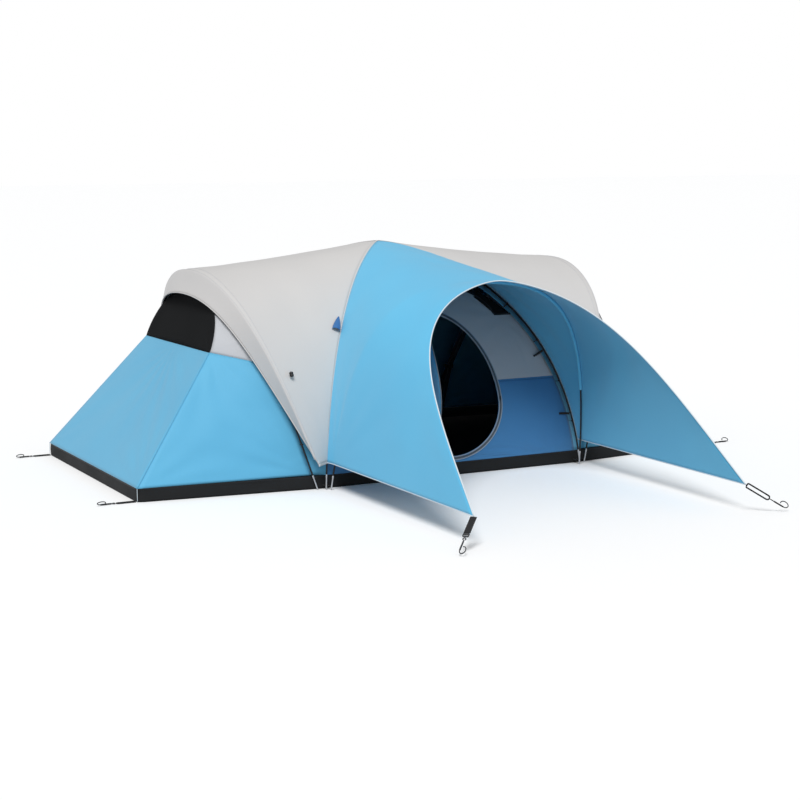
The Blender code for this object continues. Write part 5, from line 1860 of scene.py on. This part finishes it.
@dataclass
class Studio:
    """The pale floor, the soft light and the camera."""

    place: tuple[float, float, float] = (-6.3228, -12.7361, 2.4773)
    lens: float = 77.376
    yaw: float = 27.10696
    pitch: float = 8.23523
    roll: float = -0.38003
    tone: Tone = (253, 253, 253)
    bounce: Tone = (206, 207, 210)
    sky: float = 0.44
    sun: float = 2.45
    sun_spread: float = 24.0
    floor_reach: float = 120.0
    floor_drop: float = 0.001
    sun_from: tuple[float, float, float] = (-0.35, -0.50, 0.79)

    def build(self) -> None:
        """Build the stage."""
        self.build_camera()
        self.build_floor()
        self.build_lights()

    def build_camera(self) -> None:
        """Place the camera by its turn from the y axis, its tilt down and its small roll."""
        yaw, pitch, roll = (math.radians(value) for value in (self.yaw, self.pitch, self.roll))
        right = np.array((math.cos(yaw), -math.sin(yaw), 0.0))
        forward = np.array(
            (math.sin(yaw) * math.cos(pitch), math.cos(yaw) * math.cos(pitch), -math.sin(pitch))
        )
        up = np.cross(right, forward)
        turned = math.cos(roll) * right + math.sin(roll) * up
        above = -math.sin(roll) * right + math.cos(roll) * up
        data = bpy.data.cameras.new("camera")
        data.lens = self.lens
        data.sensor_width = 36.0
        data.clip_end = 500.0
        camera = bpy.data.objects.new("camera", data)
        bpy.context.scene.collection.objects.link(camera)
        matrix = np.eye(4)
        matrix[:3, 0], matrix[:3, 1], matrix[:3, 2], matrix[:3, 3] = turned, above, -forward, self.place
        camera.matrix_world = Matrix(matrix.tolist())
        bpy.context.scene.camera = camera

    def build_floor(self) -> None:
        """Build a large pale floor just under the tent, which throws back less light than it shows."""
        mesh = bpy.data.meshes.new("floor")
        reach = self.floor_reach
        ground = [(x * reach, y * reach, 0.0) for x, y in ((-1, -1), (1, -1), (1, 1), (-1, 1))]
        mesh.from_pydata(ground, [], [(0, 1, 2, 3)])
        floor = bpy.data.objects.new("floor", mesh)
        bpy.context.scene.collection.objects.link(floor)
        floor.location = (0.0, 0.0, -self.floor_drop)
        material = bpy.data.materials.new("studio_floor")
        material.use_nodes = True
        shader = material.node_tree.nodes["Principled BSDF"]
        shader.inputs["Roughness"].default_value = 0.9
        rays = material.node_tree.nodes.new("ShaderNodeLightPath")
        tones = material.node_tree.nodes.new("ShaderNodeMix")
        tones.data_type = "RGBA"
        tones.inputs["A"].default_value = linear(*self.bounce)
        tones.inputs["B"].default_value = linear(*self.tone)
        material.node_tree.links.new(rays.outputs["Is Camera Ray"], tones.inputs["Factor"])
        material.node_tree.links.new(tones.outputs["Result"], shader.inputs["Base Color"])
        mesh.materials.append(material)

    def build_lights(self) -> None:
        """Build a white backdrop with an even, weaker sky light, and a soft high sun from the front left."""
        world = bpy.data.worlds.new("studio_sky")
        world.use_nodes = True
        tree = world.node_tree
        sky = tree.nodes["Background"]
        sky.inputs["Color"].default_value = (0.98, 0.99, 1.0, 1.0)
        sky.inputs["Strength"].default_value = self.sky
        backdrop = tree.nodes.new("ShaderNodeBackground")
        backdrop.inputs["Color"].default_value = (1.0, 1.0, 1.0, 1.0)
        backdrop.inputs["Strength"].default_value = 1.0
        rays = tree.nodes.new("ShaderNodeLightPath")
        mix = tree.nodes.new("ShaderNodeMixShader")
        tree.links.new(rays.outputs["Is Camera Ray"], mix.inputs["Fac"])
        tree.links.new(sky.outputs["Background"], mix.inputs[1])
        tree.links.new(backdrop.outputs["Background"], mix.inputs[2])
        tree.links.new(mix.outputs["Shader"], tree.nodes["World Output"].inputs["Surface"])
        bpy.context.scene.world = world
        bpy.context.scene.view_settings.view_transform = "Standard"
        data = bpy.data.lights.new("sun", "SUN")
        data.energy = self.sun
        data.angle = math.radians(self.sun_spread)
        light = bpy.data.objects.new("sun", data)
        bpy.context.scene.collection.objects.link(light)
        towards = unit(np.array(self.sun_from))
        side = np.cross(UP, towards)
        side = unit(side)
        matrix = np.eye(4)
        matrix[:3, 0], matrix[:3, 1], matrix[:3, 2] = side, np.cross(towards, side), towards
        light.matrix_world = Matrix(matrix.tolist())


def main() -> None:
    """Build the studio and the tent."""
    logging.basicConfig(level=logging.INFO, format="%(name)s: %(message)s")
    low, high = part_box("floor_tub")
    lines = TentLines(half_length=(high[0] - low[0]) / 2.0, half_middle=(high[1] - low[1]) / 2.0)
    finishes = Finishes()
    Studio().build()
    TubFloor(lines, finishes).build()
    for side in Side:
        InnerBay(side, lines, finishes).build()
    room = MiddleRoom(lines, finishes)
    room.build()
    Doorway(lines, room, finishes).build()
    Fly(lines, finishes).build()
    PoleFrame(lines, finishes).build()
    Curtain(finishes).build()
    GroundGear(lines, finishes).build()
    SmallFittings(lines, finishes).build()
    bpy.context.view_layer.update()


if __name__ == "__main__":
    main()
